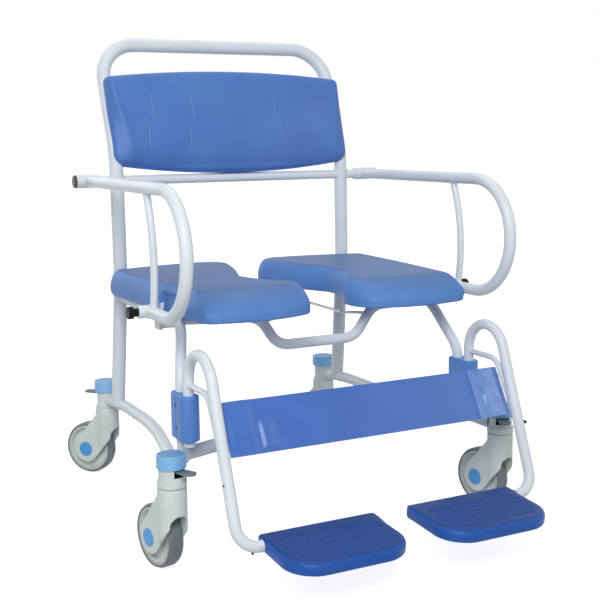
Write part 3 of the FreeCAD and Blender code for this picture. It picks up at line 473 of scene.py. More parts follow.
BLOCK_FLANK = 0.343
FLANK_FADE = 2 * MM
SPLIT_Y = -0.1595
SPLIT_W = 1.5 * MM
SPLIT_DEEP = 1.6 * MM
SCREW_HEIGHTS = (0.2635, 0.3085)
SCREW_RECESS_R = 5.5 * MM
SCREW_RECESS_EDGE = 1.5 * MM
SCREW_RECESS_SQUAT = 0.7


def block_split(mesh):
    """Split line down the outer flank of a hinge block, and a recess round each screw in it."""
    def change(point):
        flank = step_up(abs(point.x), BLOCK_FLANK, BLOCK_FLANK + FLANK_FADE)
        line = bump_at(point.y - SPLIT_Y, SPLIT_W)
        gaps = [math.hypot(point.y - SPLIT_Y, (point.z - z) * SCREW_RECESS_SQUAT) for z in SCREW_HEIGHTS]
        holes = step_up(SCREW_RECESS_R - min(gaps), 0.0, SCREW_RECESS_EDGE)
        inward = SPLIT_DEEP * flank * max(line, holes)
        return Vector((point.x - math.copysign(inward, point.x), point.y, point.z))
    moved(mesh, change)


def moulded_pieces():
    for side in SIDES:
        soft_copy("footplate_" + side, PLATE_VOXEL, PLATE_ROUNDS, plate_detail)
        soft_copy("hinge_block_" + side, SMALL_VOXEL, SMALL_ROUNDS, block_split)
    for castor in CASTORS:
        soft_copy("fork_" + castor, FORK_VOXEL, FORK_ROUNDS)
        soft_copy("brake_lever_" + castor, SMALL_VOXEL, SMALL_ROUNDS)


# Cushions

BACK_VOXEL = 2.2 * MM
BACK_ROUNDS = 5
BACK_RECLINE = math.radians(14.6)
BACK_FOOT = Vector((0.0, 0.336, 0.751))
BACK_UP = Vector((0.0, math.sin(BACK_RECLINE), math.cos(BACK_RECLINE)))
BACK_FRONT = Vector((0.0, -math.cos(BACK_RECLINE), math.sin(BACK_RECLINE)))
BACK_HEIGHT = 0.204 / math.cos(BACK_RECLINE)
BACK_HALF = 0.303
BACK_T = 0.046
BACK_ARCH = 0.015
BACK_SAG = 0.020
BACK_TOP_CORNER = 0.012
BACK_LOW_CORNER = 0.024
# From the back to the front: insets of the sides and of the top and bottom in millimetres, share of the depth
BACK_LEVELS = [
    (4, 4, 0.0),
    (0, 0, 0.3),
    (1, 1, 0.55),
    (5, 4, 0.76),
    (15, 11, 0.91),
    (38, 30, 0.99),
    (120, 60, 1.02),
]
LEVEL_STEPS = 5
EDGE_STEPS = 60
LOW_TURN = 10
TOP_TURN = 15
UPRIGHT_X = 0.2935
UPRIGHT_ROOM = 16.4 * MM
UPRIGHT_LOW = Vector((0.0, 0.3273, 0.738))
UPRIGHT_KNEE = Vector((0.0, 0.328, 0.785))
UPRIGHT_HIGH = Vector((0.0, 0.3456, 0.8284))
UPRIGHT_END = Vector((0.0, 0.4150, 1.0))
KNEE_PULL = 0.667
KNEE_STEPS = 12
CROSS_MIDDLE = Vector((0.0, 0.32714, 0.724))
CROSS_HALF = 0.25
CROSS_ROOM = 12 * MM
UPRIGHT_FACETS = 64
CROSS_FACETS = 48
GROOVE_LINES = (0.110, 0.210)
# A groove's distance outside its line, with the share of the height where it is so
GROOVE_SWAY = [(-0.010, 0.84), (-0.003, 0.72), (-0.006, 0.55), (0.008, 0.38), (0.012, 0.10)]
GROOVE_W = 1.7 * MM
GROOVE_DEEP = 1.2 * MM
GROOVE_ROOM = 9 * MM
GROOVE_FOOT = (0.10, 0.18)
GROOVE_HEAD = (0.84, 0.76)
LIP_RISE = 0.3
LIP_OUT = 2.4 * GROOVE_W
LIP_W = 1.4 * GROOVE_W
CREST_TOP_X = 0.291
CREST_LOW_X = 0.262
CREST_LEAN = (0.05, 0.95)
CREST_WIDENS = (0.8, 0.2)
CREST_FOOT = (0.02, 0.2)
CREST_HEAD = (1.02, 0.8)
CREST_W = 7 * MM
CREST_SPREAD = 7 * MM
CREST_RISE = 4.0 * MM
HOLLOW_OUT = 15 * MM
HOLLOW_DEEP = 1.6 * MM
HOLLOW_WIDER = 1.3
FRONT_FACING = 0.75
FRONT_ROUNDS = 70
LOW_FACING = 0.1
LOW_ROUNDS = 40
LOW_SHARE = 0.22
GROOVE_FACING = 0.6
RISE_FACING = 0.45
ROLL_UNDER = 16 * MM
ROLL_SHARE = 0.42
ROLL_INNER = 0.23
ROLL_OUTER = 0.285


def back_place(x, rise, depth):
    """A point on the backrest, by its distance from the middle, its rise and its depth towards the front."""
    return BACK_FOOT + Vector((x, 0.0, 0.0)) + BACK_UP * rise + BACK_FRONT * depth


def corner_arc(x, rise, radius, turns):
    """Places round a corner of the backrest, given the middle of its arc."""
    angles = [math.radians(turn) for turn in turns]
    return [(x + radius * math.cos(angle), rise + radius * math.sin(angle)) for angle in angles]


def back_ring(inset_side, inset_edge, depth):
    """Backrest seen from the front at one depth: straight sides, arched top, sagging bottom."""
    low_x = BACK_HALF - inset_side - BACK_LOW_CORNER
    low_rise = inset_edge + BACK_LOW_CORNER
    top_x = BACK_HALF - inset_side - BACK_TOP_CORNER
    top = BACK_HEIGHT - inset_edge
    top_rise = top - BACK_TOP_CORNER
    shares = [2 * step / EDGE_STEPS - 1 for step in range(EDGE_STEPS)]
    places = [(share * low_x, inset_edge - BACK_SAG * (1 - share ** 2)) for share in shares]
    places += corner_arc(low_x, low_rise, BACK_LOW_CORNER, range(-90, 1, LOW_TURN))
    places += corner_arc(top_x, top_rise, BACK_TOP_CORNER, range(0, 91, TOP_TURN))
    places += [(-share * top_x, top + BACK_ARCH * (1 - share ** 2)) for share in shares[1:]]
    places += corner_arc(-top_x, top_rise, BACK_TOP_CORNER, range(90, 181, TOP_TURN))
    places += corner_arc(-low_x, low_rise, BACK_LOW_CORNER, range(180, 270, LOW_TURN))
    return [back_place(x, rise, depth) for x, rise in places]


def smooth_rows(rows, steps):
    """Rows of numbers with smooth steps put between them."""
    rows = [Vector(row) for row in rows]
    last = len(rows) - 1
    out = []
    for index in range(last):
        a, b, c, d = (rows[min(max(index + shift, 0), last)] for shift in (-1, 0, 1, 2))
        for step in range(steps):
            t = step / steps
            out.append((2 * b + (c - a) * t + (2 * a - 5 * b + 4 * c - d) * t ** 2
                        + (3 * b - a - 3 * c + d) * t ** 3) / 2)
    return out + [rows[last]]


def back_shell(work):
    """The backrest as one closed form, before the tubes are cut out of it."""
    rings = []
    for side, edge, share in smooth_rows(BACK_LEVELS, LEVEL_STEPS):
        rings.append([work.verts.new(place) for place in back_ring(side * MM, edge * MM, BACK_T * share)])
    count = len(rings[0])
    for first, second in zip(rings, rings[1:]):
        for index in range(count):
            other = (index + 1) % count
            work.faces.new((first[index], first[other], second[other], second[index]))
    work.faces.new(rings[0])
    work.faces.new(rings[-1])


def tube_room(work):
    """Room behind the backrest for the uprights and the tube across."""
    low_pull = UPRIGHT_LOW.lerp(UPRIGHT_KNEE, KNEE_PULL)
    high_pull = UPRIGHT_HIGH.lerp(UPRIGHT_KNEE, KNEE_PULL)
    bend = interpolate_bezier(UPRIGHT_LOW, low_pull, high_pull, UPRIGHT_HIGH, KNEE_STEPS)
    for hand in SIDES.values():
        across = Vector((UPRIGHT_X * hand, 0.0, 0.0))
        points = [across + place for place in bend + [UPRIGHT_END]]
        strand(work, points, lambda index: UPRIGHT_ROOM, Vector((1, 0, 0)), False, UPRIGHT_FACETS)
    ends = [CROSS_MIDDLE + Vector((x, 0.0, 0.0)) for x in (-CROSS_HALF, CROSS_HALF)]
    strand(work, ends, lambda index: CROSS_ROOM, Vector((0, 0, 1)), False, CROSS_FACETS)


def sway_at(share):
    """How far a groove stands out from its line at a share of the height, drawn as a smooth wave."""
    if not GROOVE_SWAY[-1][1] <= share <= GROOVE_SWAY[0][1]:
        return None
    for (sway_a, share_a), (sway_b, share_b) in zip(GROOVE_SWAY, GROOVE_SWAY[1:]):
        if share >= share_b:
            return sway_b + (sway_a - sway_b) * step_up(share, share_b, share_a)
    return None


def back_share(point):
    """How far up the backrest a point lies, as a share of its height."""
    return (point - BACK_FOOT).dot(BACK_UP) / BACK_HEIGHT


def from_groove(point):
    """Distance sideways from the nearest groove of the backrest, or None above and below them."""
    sway = sway_at(back_share(point))
    if sway is None:
        return None
    return min(abs(abs(point.x) - line - sway) for line in GROOVE_LINES)


def back_rise(place):
    """How far the front stands out at a place: a crest down each side, a rolled lower edge, grooves."""
    share = back_share(place)
    crest_x = CREST_LOW_X + (CREST_TOP_X - CREST_LOW_X) * step_up(share, *CREST_LEAN)
    wide = CREST_W + CREST_SPREAD * step_up(share, *CREST_WIDENS)
    out = abs(place.x) - crest_x
    rise = CREST_RISE * bump_at(out, wide) - HOLLOW_DEEP * bump_at(out - HOLLOW_OUT, HOLLOW_WIDER * wide)
    rise *= step_up(share, *CREST_FOOT) * step_up(share, *CREST_HEAD)
    middle = step_up(abs(place.x), ROLL_OUTER, ROLL_INNER)
    rise -= ROLL_UNDER * middle * min(max(1 - share / ROLL_SHARE, 0.0), 1.0) ** 2
    gap = from_groove(place)
    if gap is None:
        return rise
    ends = step_up(share, *GROOVE_FOOT) * step_up(share, *GROOVE_HEAD)
    lips = LIP_RISE * bump_at(gap - LIP_OUT, LIP_W)
    return rise + GROOVE_DEEP * (lips - bump_at(gap, GROOVE_W)) * ends


def relaxed(work, vertices, rounds):
    """Evens out a patch of the backrest, without moving it sideways."""
    for turn in range(rounds):
        bmesh.ops.smooth_vert(work, verts=vertices, factor=RELAX, use_axis_y=True, use_axis_z=True)
    work.normal_update()


def back_detail(mesh):
    """Evens out the front of the backrest, then draws its crests, lower edge and grooves."""
    work = bmesh.new()
    work.from_mesh(mesh)
    near = set()
    for face in work.faces:
        gap = from_groove(face.calc_center_median())
        if gap is not None and gap < GROOVE_ROOM and face.normal.dot(BACK_FRONT) > GROOVE_FACING:
            near.update(face.edges)
    front = [vertex for vertex in work.verts if vertex.normal.dot(BACK_FRONT) > FRONT_FACING]
    relaxed(work, front, FRONT_ROUNDS)
    low = [vertex for vertex in work.verts
           if vertex.normal.dot(BACK_FRONT) > LOW_FACING and back_share(vertex.co) < LOW_SHARE]
    relaxed(work, low, LOW_ROUNDS)
    bmesh.ops.subdivide_edges(work, edges=list(near), cuts=1, use_grid_fill=True)
    work.normal_update()
    for vertex in work.verts:
        facing = step_up(vertex.normal.dot(BACK_FRONT), 0.0, RISE_FACING)
        vertex.co += BACK_FRONT * back_rise(vertex.co) * facing
    work.to_mesh(mesh)
    work.free()
    mesh.shade_smooth()


PAD_VOXEL = 3.0 * MM
PAD_ROUNDS = 6
CORNER_LOW = Vector((0.300, -0.208, 0.478))
CORNER_TOP = Vector((0.286, -0.150, 0.520))
CORNER_W = 10 * MM
CORNER_RISE = 6.5 * MM
CORNER_OUT = Vector((0.75, -0.66, 0.0))
CORNER_STARTS = 0.466
CORNER_FULL = 0.476
CORNER_PAST = 1.1
EDGE_LOW = 0.467
EDGE_TOP = 0.478
EDGE_OUT = 4.5 * MM
EDGE_BACK = 0.12
EDGE_FRONT = -0.12
EDGE_FACING = (0.1, 0.7)
RECESS_MIDDLE = -0.052
RECESS_HALF = 0.038
RECESS_DEEP = 9 * MM
RECESS_TOP = 0.508
RECESS_ENDS = (-0.003, 0.003)
RECESS_LIP = (-0.005, 0.006)
RECESS_FLANK = (0.27, 0.30)


def square_off(mesh):
    """Draws the lower edge of a seat half out, so that its wall runs down to a small round."""
    normals = [vertex.normal.copy() for vertex in mesh.vertices]
    for vertex, normal in zip(mesh.vertices, normals):
        out = Vector((normal.x, normal.y, 0.0))
        share = step_up(vertex.co.z, EDGE_TOP, EDGE_LOW) * step_up(out.length, *EDGE_FACING)
        share *= step_up(vertex.co.y, EDGE_BACK, EDGE_FRONT)
        vertex.co += out.normalized() * EDGE_OUT * share


def pad_detail(hand):
    """Sharpens the corner between the front and the side, and presses in the room for the arm's lock."""
    def change(point):
        place = Vector((point.x * hand, point.y, point.z))
        share = (place.z - CORNER_LOW.z) / (CORNER_TOP.z - CORNER_LOW.z)
        edge = CORNER_LOW.lerp(CORNER_TOP, min(max(share, 0.0), CORNER_PAST))
        gap = math.hypot(place.x - edge.x, place.y - edge.y)
        rise = CORNER_RISE * bump_at(gap, CORNER_W) * step_up(place.z, CORNER_STARTS, CORNER_FULL)
        place += CORNER_OUT * rise
        along = step_up(RECESS_HALF - abs(place.y - RECESS_MIDDLE), *RECESS_ENDS)
        under = step_up(RECESS_TOP - place.z, *RECESS_LIP)
        flank = step_up(place.x, *RECESS_FLANK)
        place.x -= RECESS_DEEP * along * under * flank
        return Vector((place.x * hand, place.y, place.z))

    def refine(mesh):
        square_off(mesh)
        moved(mesh, change)
    return refine


def cushions():
    for side, hand in SIDES.items():
        pad = soft_copy("seat_pad_" + side, PAD_VOXEL, PAD_ROUNDS, pad_detail(hand))
    shell = softened(mesh_of("back_shell", back_shell), BACK_VOXEL, BACK_ROUNDS)
    back_detail(shell)
    shell = carved(shell, mesh_of("tube_room", tube_room))
    shade(shell, SKIN_ANGLE)
    back = put_for("backrest", shell)


# Calf strap, a coated fabric strip with both ends turned over to the front and pressed down

STRAP_T = 1.4 * MM
STRAP_DOWN = Vector((0.0, -0.5013, -0.8653))
STRAP_FRONT = Vector((0.0, -0.8653, 0.5013))
FOLD_L = 0.064
FOLD_GAP = 0.3 * MM
PRESS_L = 9 * MM
POCKET = 3.4 * MM
SLACK = 0.7 * MM
SLACK_GRAIN = (5, 9)
SLACK_SEED = 0.3
SLACK_STARTS = 0.03
RIDGE = 1.8 * MM
RIDGE_OUT = 0.004
RIDGE_W = 0.0045
RIDGE_FADE = 0.002
BULGE = 4.0 * MM
BULGE_PEAK = 0.011
BULGE_END = 0.045
BULGE_TOP = (0.028, 0.055)
BULGE_FOOT = (0.102, 0.09)
BULGE_LEAST = 0.15
RIGHT_FULLNESS = 0.35
FOLD_OPENS = 0.014
PRESS_FADE = (0.5 * PRESS_L, 2 * PRESS_L)
SWELL_MEAN = 0.8
SWELL_DRIFT = 0.6
SWELL_GRAIN = (16, 13)
SWELL_SEED = 2.1
WRINKLE = 1.4 * MM
WRINKLE_ALONG = (24, 30)
WRINKLE_ACROSS = (-12, 20)
WRINKLE_SEED = 5.0
WRINKLE_SHARP = 5
FOLDED_FRONT = 0.8 * STRAP_T
TURN_STEP = 20
STRAP_ROWS = 40
STRAP_STEP = 4 * MM
FOLD_STEP = 1.5 * MM


def spaced(start, end, step):
    """Evenly spaced numbers from a start towards an end, which is left out."""
    count = max(1, round(abs(end - start) / step))
    return [start + (end - start) * index / count for index in range(count)]


def strap_path(half):
    """The strap's middle line seen along its edge, as places along and in front of its lay."""
    over = STRAP_T + FOLD_GAP
    turn = [math.radians(angle) for angle in range(0, 180, TURN_STEP)]
    right_end = [(-half - math.sin(a) * over / 2, over / 2 + math.cos(a) * over / 2) for a in turn]
    left_end = [(half + math.sin(a) * over / 2, over / 2 - math.cos(a) * over / 2) for a in turn]
    path = [(x, over) for x in spaced(FOLD_L - half, -half, FOLD_STEP)]
    path += right_end
    path += [(x, 0.0) for x in spaced(-half, half, STRAP_STEP)]
    path += left_end
    path += [(x, over) for x in spaced(half, half - FOLD_L, FOLD_STEP)]
    return path + [(half - FOLD_L, over)]


def strap_relief(x, drop, half, folded):
    """How far the strap stands out of its lay: pockets and wrinkles on the ends, a slack wave between."""
    inward = half - abs(x)
    if not folded:
        slack = SLACK * noise.noise(Vector((x * SLACK_GRAIN[0], drop * SLACK_GRAIN[1], SLACK_SEED)))
        slack *= step_up(inward, FOLD_L, FOLD_L + SLACK_STARTS)
        if x < 0:
            peak = FOLD_L + BULGE_PEAK
            ridge = BULGE * step_up(inward, FOLD_L, peak) * step_up(inward, FOLD_L + BULGE_END, peak)
            lower = step_up(drop, *BULGE_TOP) * step_up(drop, *BULGE_FOOT)
            return slack + ridge * (BULGE_LEAST + (1 - BULGE_LEAST) * lower)
        ridge = RIDGE * bump_at(inward - FOLD_L - RIDGE_OUT, RIDGE_W)
        return slack + ridge * step_up(inward, FOLD_L - RIDGE_FADE, FOLD_L)
    fullness = 1.0 if x > 0 else RIGHT_FULLNESS
    held = fullness * step_up(inward, 0.0, FOLD_OPENS) * step_up(FOLD_L - inward, *PRESS_FADE)
    cloud = noise.noise(Vector((x * SWELL_GRAIN[0], drop * SWELL_GRAIN[1], SWELL_SEED)))
    swell = SWELL_MEAN + SWELL_DRIFT * cloud
    along = x * WRINKLE_ALONG[0] + drop * WRINKLE_ALONG[1]
    across = x * WRINKLE_ACROSS[0] + drop * WRINKLE_ACROSS[1]
    crease = abs(noise.noise(Vector((along, across, WRINKLE_SEED))))
    wrinkle = WRINKLE * (1 - min(1.0, crease * WRINKLE_SHARP))
    return max(0.0, (POCKET * swell + wrinkle) * held)


def calf_strap():
    """The strap as one closed skin that follows its middle line, in place of the solid one."""
    points = [vertex.co for vertex in nodes["calf_strap"].data.vertices]
    half = max(point.x for point in points)
    top = min(point.dot(STRAP_DOWN) for point in points)
    drop_all = max(point.dot(STRAP_DOWN) for point in points) - top
    lay = min(point.dot(STRAP_FRONT) for point in points) + STRAP_T
    path = strap_path(half)

    def build(work):
        faces = {1: [], -1: []}
        for index, (x, front) in enumerate(path):
            before = Vector(path[max(index - 1, 0)])
            after = Vector(path[min(index + 1, len(path) - 1)])
            heading = (after - before).normalized()
            across = Vector((-heading.y, heading.x))
            folded = front > FOLDED_FRONT
            for way in faces:
                column = []
                for row in range(STRAP_ROWS + 1):
                    drop = drop_all * row / STRAP_ROWS
                    stand = front + strap_relief(x, drop, half, folded) + across.y * way * STRAP_T / 2
                    place = STRAP_DOWN * (top + drop) + STRAP_FRONT * (lay + stand)
                    place.x = x + across.x * way * STRAP_T / 2
                    column.append(work.verts.new(place))
                faces[way].append(column)
        for columns in faces.values():
            for first, second in zip(columns, columns[1:]):
                for row in range(STRAP_ROWS):
                    work.faces.new((first[row], first[row + 1], second[row + 1], second[row]))
        for row in (0, STRAP_ROWS):
            for index in range(len(path) - 1):
                upper = (faces[1][index][row], faces[1][index + 1][row])
                work.faces.new((*upper, faces[-1][index + 1][row], faces[-1][index][row]))
        for index in (0, -1):
            for row in range(STRAP_ROWS):
                upper = (faces[1][index][row], faces[1][index][row + 1])
                work.faces.new((*upper, faces[-1][index][row + 1], faces[-1][index][row]))

    mesh = mesh_of("calf_strap_skin", build)
    shade(mesh, SKIN_ANGLE)
    strap = add_piece("calf_strap_skin", mesh, BODY_OF["calf_strap"], "strap_vinyl", STRAP_VINYL)
    # Faces of the folded left end (+X) take the lighter vinyl, a painted highlight
    mesh.materials.append(PAINTED_HIGHLIGHT_VINYL)
    for face in mesh.polygons:
        if face.center.dot(STRAP_FRONT) > lay + STRAP_T and face.center.x > 0:
            face.material_index = 1
    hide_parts("calf_strap")
    length = sum((Vector(b) - Vector(a)).length for a, b in zip(path, path[1:]))
    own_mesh(strap)


# Welds

BEAD_R = 1.8 * MM
BEAD_STEP = 0.7 * MM
BEAD_PITCH = 2.6 * MM
BEAD_BREAK = 5 * MM
STAND_OFF = 45 * MM
BEAD_REACH = 75 * MM
BEAD_LEAST = 6
BEAD_RIPPLE = 0.1
BEAD_LUMP = 0.25
LUMP_GRAIN = 160
BEAD_TIP = 0.3
BEAD_TAPER = 5
SEAT_TUBE_R = 11.1
CROSS_TUBE_R = 14.0
UPRIGHT_R = 15.9
RAIL_R = 12.7
PIVOT_R = 11.0
BRACE_R = 7.5
ARM_R = 12.6
CALF_R = 6.0
# Where a tube ends on the left side, its heading, its radius and what it meets, in millimetres.
# A name that ends in an underscore takes the side after it.
FRAME_WELDS = [
    ((328, -139, 199), (0, 0, -1), SEAT_TUBE_R, ["side_rail_"]),
    ((328, -139, 203), (128, -44, 0), CROSS_TUBE_R, ["front_leg_", "side_rail_"]),
    ((297, -40, 454), (162, 50, 0), SEAT_TUBE_R, ["front_leg_"]),
    ((293.6, 330, 454), (-3, 400, 0), SEAT_TUBE_R, ["back_frame"]),
    ((299, 361, 199), (5.5, 37, -301), UPRIGHT_R, ["side_rail_"]),
    ((383, -223.5, 184), (34.5, -95.5, -15), RAIL_R, ["castor_sockets"]),
    ((302, 443.5, 187), (3, 143.5, -12), RAIL_R, ["castor_sockets"]),
    ((293.5, 330, 454), (1, 0, 0), SEAT_TUBE_R, ["back_frame"]),
    ((293.5, 327.14, 724), (1, 0, 0), PIVOT_R, ["back_frame"]),
    ((293.5, 327.14, 724), (-1, 0, 0), PIVOT_R, ["back_frame"]),
]
ARM_WELDS = [
    ((361, -64, 724), (0, 0.438, 0.899), BRACE_R, ["arm_tube_", "arm_sleeves_"]),
    ((361, -88, 480), (0, 0.254, -0.967), BRACE_R, ["arm_tube_", "arm_sleeves_"]),
    ((361, 327.14, 724), (0, 1, 0), ARM_R, ["arm_sleeves_"]),
    ((361, -61, 480), (0, 1, 0), ARM_R, ["arm_sleeves_"]),
]
HANGER_WELDS = [
    ((328, -180, 352), (0, 1, 0), CALF_R, ["hanger_tube_"]),
    ((328, -366, 200), STRAP_DOWN, CALF_R, ["hanger_tube_"]),
]


def skin_tree(names):
    """The skins of some nodes, to be searched for points on them."""
    points = []
    faces = []
    for name in names:
        first = len(points)
        points += [nodes[name].matrix_world @ vertex.co for vertex in nodes[name].data.vertices]
        faces += [[first + index for index in face.vertices] for face in nodes[name].data.polygons]
    return BVHTree.FromPolygons(points, faces)


def bead_runs(end, heading, radius, tree):
    """Unbroken runs of points where a tube's skin, sent along its heading, meets another piece."""
    count = round(2 * math.pi * radius / BEAD_STEP)
    starts = circle(end - heading * STAND_OFF, heading, radius, count)
    hits = [tree.ray_cast(start, heading, BEAD_REACH)[0] for start in starts]
    breaks = [i for i in range(count) if hits[i] is None or hits[i - 1] is None
              or (hits[i] - hits[i - 1]).length > BEAD_BREAK]
    if not breaks:
        return [hits], True
    order = list(range(breaks[0], count)) + list(range(breaks[0]))
    runs = [[]]
    for index in order:
        if index in breaks:
            runs.append([])
        if hits[index] is not None:
            runs[-1].append(hits[index])
    return [run for run in runs if len(run) > BEAD_LEAST], False


def weld(work, end, heading, radius, targets):
    """Rippled bead round the end of a tube, where it meets the target pieces."""
    heading = heading.normalized()
    runs, closed = bead_runs(end, heading, radius, skin_tree(targets))
    for run in runs:
        def swell(index):
            ripple = math.sin(index * BEAD_STEP / BEAD_PITCH * 2 * math.pi)
            lump = noise.noise(run[index] * LUMP_GRAIN)
            ends = 1.0 if closed else min(1.0, BEAD_TIP + min(index, len(run) - 1 - index) / BEAD_TAPER)
            return BEAD_R * (1 + BEAD_RIPPLE * ripple + BEAD_LUMP * lump) * ends
        strand(work, run, swell, heading, closed)


def weld_side(work, side, table):
    """All beads of a table on one side."""
    hand = SIDES[side]
    for end, heading, radius, targets in table:
        names = [name + side if name.endswith("_") else name for name in targets]
        weld(work, at_side(*end, hand), at_side(*heading, hand), radius * MM, names)


def frame_welds(work):
    for side in SIDES:
        weld_side(work, side, FRAME_WELDS)


def welds():
    add_piece("frame_welds", mesh_of("frame_welds", frame_welds), "root", "frame_paint", WELD_PAINT)
    for side in SIDES:
        for name, table in (("arm", ARM_WELDS), ("hanger", HANGER_WELDS)):
            title = name + "_welds_" + side
            mesh = mesh_of(title, lambda work: weld_side(work, side, table))
            add_piece(title, mesh, name + "_" + side, "frame_paint", WELD_PAINT)


# Small marks and lines

RIM_FACE = 14.5 * MM
SEAM_R = 0.45 * MM
# Radii of the dark rings: the painted gap shade at the tyre, then the dark line on the rim
SEAMS = (56.4 * MM, 52.6 * MM)
SEAM_STEPS = 128
SEAM_FACETS = 6
BUTTON_FACETS = 24
BUTTON_RINGS = 14
# Place in millimetres, radius in millimetres and how far it stands out as a share of the radius
BUTTONS = {
    "left": [((339, -355, 230), 4.4, 2.2)],
    "right": [((339, -368, 206), 2.2, 0.4), ((303, -407, 84), 2.6, 1.6)],
}


def wheel_lines(castor):
    """Thin dark rings on both faces of a rim: painted shade in the gap where it meets the tyre, and a dark
    line inside that.
    """
    joint = JOINT_OF["roll_" + castor]
    axis = Vector(joint["axis"]).normalized()
    centre = Vector(joint["pos_m"])

    def build(work):
        for way in (1, -1):
            for radius in SEAMS:
                points = circle(centre + axis * way * RIM_FACE, axis, radius, SEAM_STEPS)
                strand(work, points, lambda index: SEAM_R, axis, True, SEAM_FACETS)

    title = "wheel_lines_" + castor
    add_piece(title, mesh_of(title, build), "wheel_" + castor, "tyre_rubber", RIM_LINE_AND_GAP_SHADE)


def buttons(side):
    """Small dark buttons, seated on the skin of a hanger tube."""
    hand = SIDES[side]
    skin = skin_tree(["hanger_tube_" + side])

    def build(work):
        for place, radius, reach in BUTTONS[side]:
            spot, normal, _, _ = skin.find_nearest(at_side(*place, hand))
            turn = normal.to_track_quat("X", "Z").to_matrix().to_4x4()
            matrix = Matrix.Translation(spot) @ turn @ Matrix.Diagonal((reach, 1, 1, 1))
            bmesh.ops.create_uvsphere(work, u_segments=BUTTON_FACETS, v_segments=BUTTON_RINGS,
                                      radius=radius * MM, matrix=matrix)

    title = "hanger_buttons_" + side
    add_piece(title, mesh_of(title, build), "hanger_" + side, "knob_plastic", BLACK_PLASTIC_AND_SLOT_SHADE)


def small_marks():
    for castor in CASTORS:
        wheel_lines(castor)
    for side in SIDES:
        buttons(side)


# Stage, light and camera

CAMERA_PLACE = Vector((-1.056, -2.073, 0.818))
CAMERA_YAW = math.radians(27.14)
CAMERA_PITCH = math.radians(-8.6)
CAMERA_ROLL = math.radians(-0.66)
CAMERA_LENS = 64.71
CAMERA_SENSOR = 36.0
CAMERA_REACH = 100.0
AIM = Vector((0.0, 0.0, 0.5))
AMBIENT = 0.26
FLOOR_HALF = 40.0
FLOOR_GREY = (0.55, 0.55, 0.56, 1.0)
FLOOR_ROUGHNESS = 0.9
NEAR_GLOW = 0.8
NEAR_REACH = 1.0
FAR_REACH = 2.6
# Place and disk size in metres, power in watts
LAMPS = {
    "key": ((-1.7, -2.6, 2.4), 2.0, 84),
    "fill": ((2.6, -1.8, 1.8), 2.0, 12),
    "top": ((0.3, 1.2, 3.2), 2.4, 20),
    "back": ((-1.2, 3.2, 1.6), 2.4, 16),
}


def camera():
    """The camera that took the photograph, as fitted to it."""
    level = math.cos(CAMERA_PITCH)
    forward = Vector((math.sin(CAMERA_YAW) * level, math.cos(CAMERA_YAW) * level, math.sin(CAMERA_PITCH)))
    right = Vector((math.cos(CAMERA_YAW), -math.sin(CAMERA_YAW), 0.0))
    up = right.cross(forward)
    rolled_right = right * math.cos(CAMERA_ROLL) + up * math.sin(CAMERA_ROLL)
    rolled_up = up * math.cos(CAMERA_ROLL) - right * math.sin(CAMERA_ROLL)
    data = bpy.data.cameras.new("camera")
    data.lens = CAMERA_LENS
    data.sensor_width = CAMERA_SENSOR
    data.clip_end = CAMERA_REACH
    seen_from = bpy.data.objects.new("camera", data)
    turn = Matrix((rolled_right, rolled_up, -forward)).transposed().to_4x4()
    seen_from.matrix_world = Matrix.Translation(CAMERA_PLACE) @ turn
    bpy.context.scene.collection.objects.link(seen_from)
    bpy.context.scene.camera = seen_from


def lamp(name, place, size, power):
    """A round soft lamp that faces the chair."""
    data = bpy.data.lights.new(name, "AREA")
    data.shape = "DISK"
    data.size = size
    data.energy = power
    light = bpy.data.objects.new(name, data)
    light.location = place
    light.rotation_euler = (AIM - Vector(place)).to_track_quat("-Z", "Y").to_euler()
    bpy.context.scene.collection.objects.link(light)


def seen_rays(tree):
    """One where a ray comes from the camera, a mirror or glass, and zero for light on the object."""
    path = tree.nodes.new("ShaderNodeLightPath")
    total = None
    for output in ("Is Camera Ray", "Is Glossy Ray", "Is Transmission Ray"):
        if total is None:
            total = path.outputs[output]
            continue
        more = tree.nodes.new("ShaderNodeMath")
        more.operation = "MAXIMUM"
        tree.links.new(total, more.inputs[0])
        tree.links.new(path.outputs[output], more.inputs[1])
        total = more.outputs["Value"]
    return total


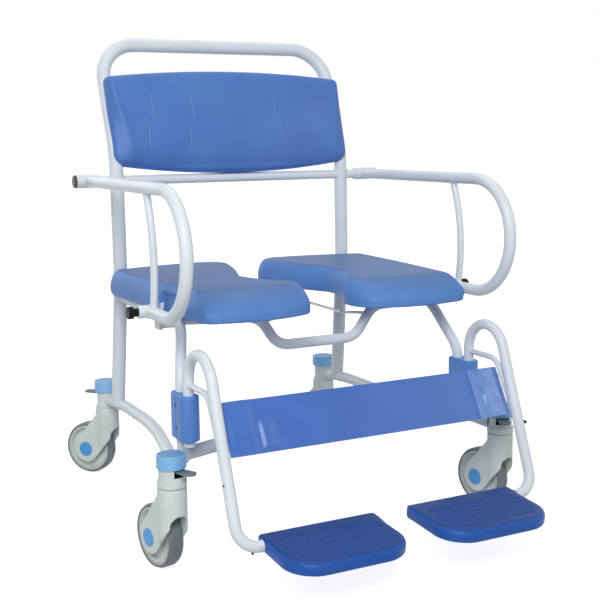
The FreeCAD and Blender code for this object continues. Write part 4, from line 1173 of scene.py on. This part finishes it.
def world():
    """White where it is seen, and a dim even light on the chair."""
    made = bpy.data.worlds.new("studio")
    bpy.context.scene.world = made
    made.use_nodes = True
    tree = made.node_tree
    background = tree.nodes["Background"]
    background.inputs["Color"].default_value = WHITE
    strength = add_node(tree, "ShaderNodeMapRange", To_Min=AMBIENT, To_Max=1.0)
    tree.links.new(seen_rays(tree), strength.inputs["Value"])
    tree.links.new(strength.outputs["Result"], background.inputs["Strength"])


def floor():
    """A plain floor that keeps a faint shadow and runs out into white."""
    def build(work):
        bmesh.ops.create_grid(work, x_segments=1, y_segments=1, size=FLOOR_HALF)
    ground = bpy.data.objects.new("floor", mesh_of("floor", build))
    bpy.context.scene.collection.objects.link(ground)
    made = bpy.data.materials.new("floor")
    made.use_nodes = True
    tree = made.node_tree
    shader = tree.nodes["Principled BSDF"]
    shader.inputs["Base Color"].default_value = FLOOR_GREY
    shader.inputs["Roughness"].default_value = FLOOR_ROUGHNESS
    shader.inputs["Specular IOR Level"].default_value = 0.0
    shader.inputs["Emission Color"].default_value = WHITE
    place = tree.nodes.new("ShaderNodeTexCoord")
    reach = tree.nodes.new("ShaderNodeVectorMath")
    reach.operation = "LENGTH"
    tree.links.new(place.outputs["Object"], reach.inputs[0])
    glow = add_node(tree, "ShaderNodeMapRange", From_Min=NEAR_REACH, From_Max=FAR_REACH,
                    To_Min=NEAR_GLOW, To_Max=1.0)
    tree.links.new(reach.outputs["Value"], glow.inputs["Value"])
    seen_glow = tree.nodes.new("ShaderNodeMath")
    seen_glow.operation = "MULTIPLY"
    tree.links.new(glow.outputs["Result"], seen_glow.inputs[0])
    tree.links.new(seen_rays(tree), seen_glow.inputs[1])
    tree.links.new(seen_glow.outputs["Value"], shader.inputs["Emission Strength"])
    ground.data.materials.append(made)


def studio():
    bpy.context.scene.view_settings.view_transform = "Standard"
    world()
    floor()
    for name, (place, size, power) in LAMPS.items():
        lamp(name, place, size, power)
    camera()


dress_frame()
moulded_pieces()
cushions()
calf_strap()
welds()
small_marks()
studio()
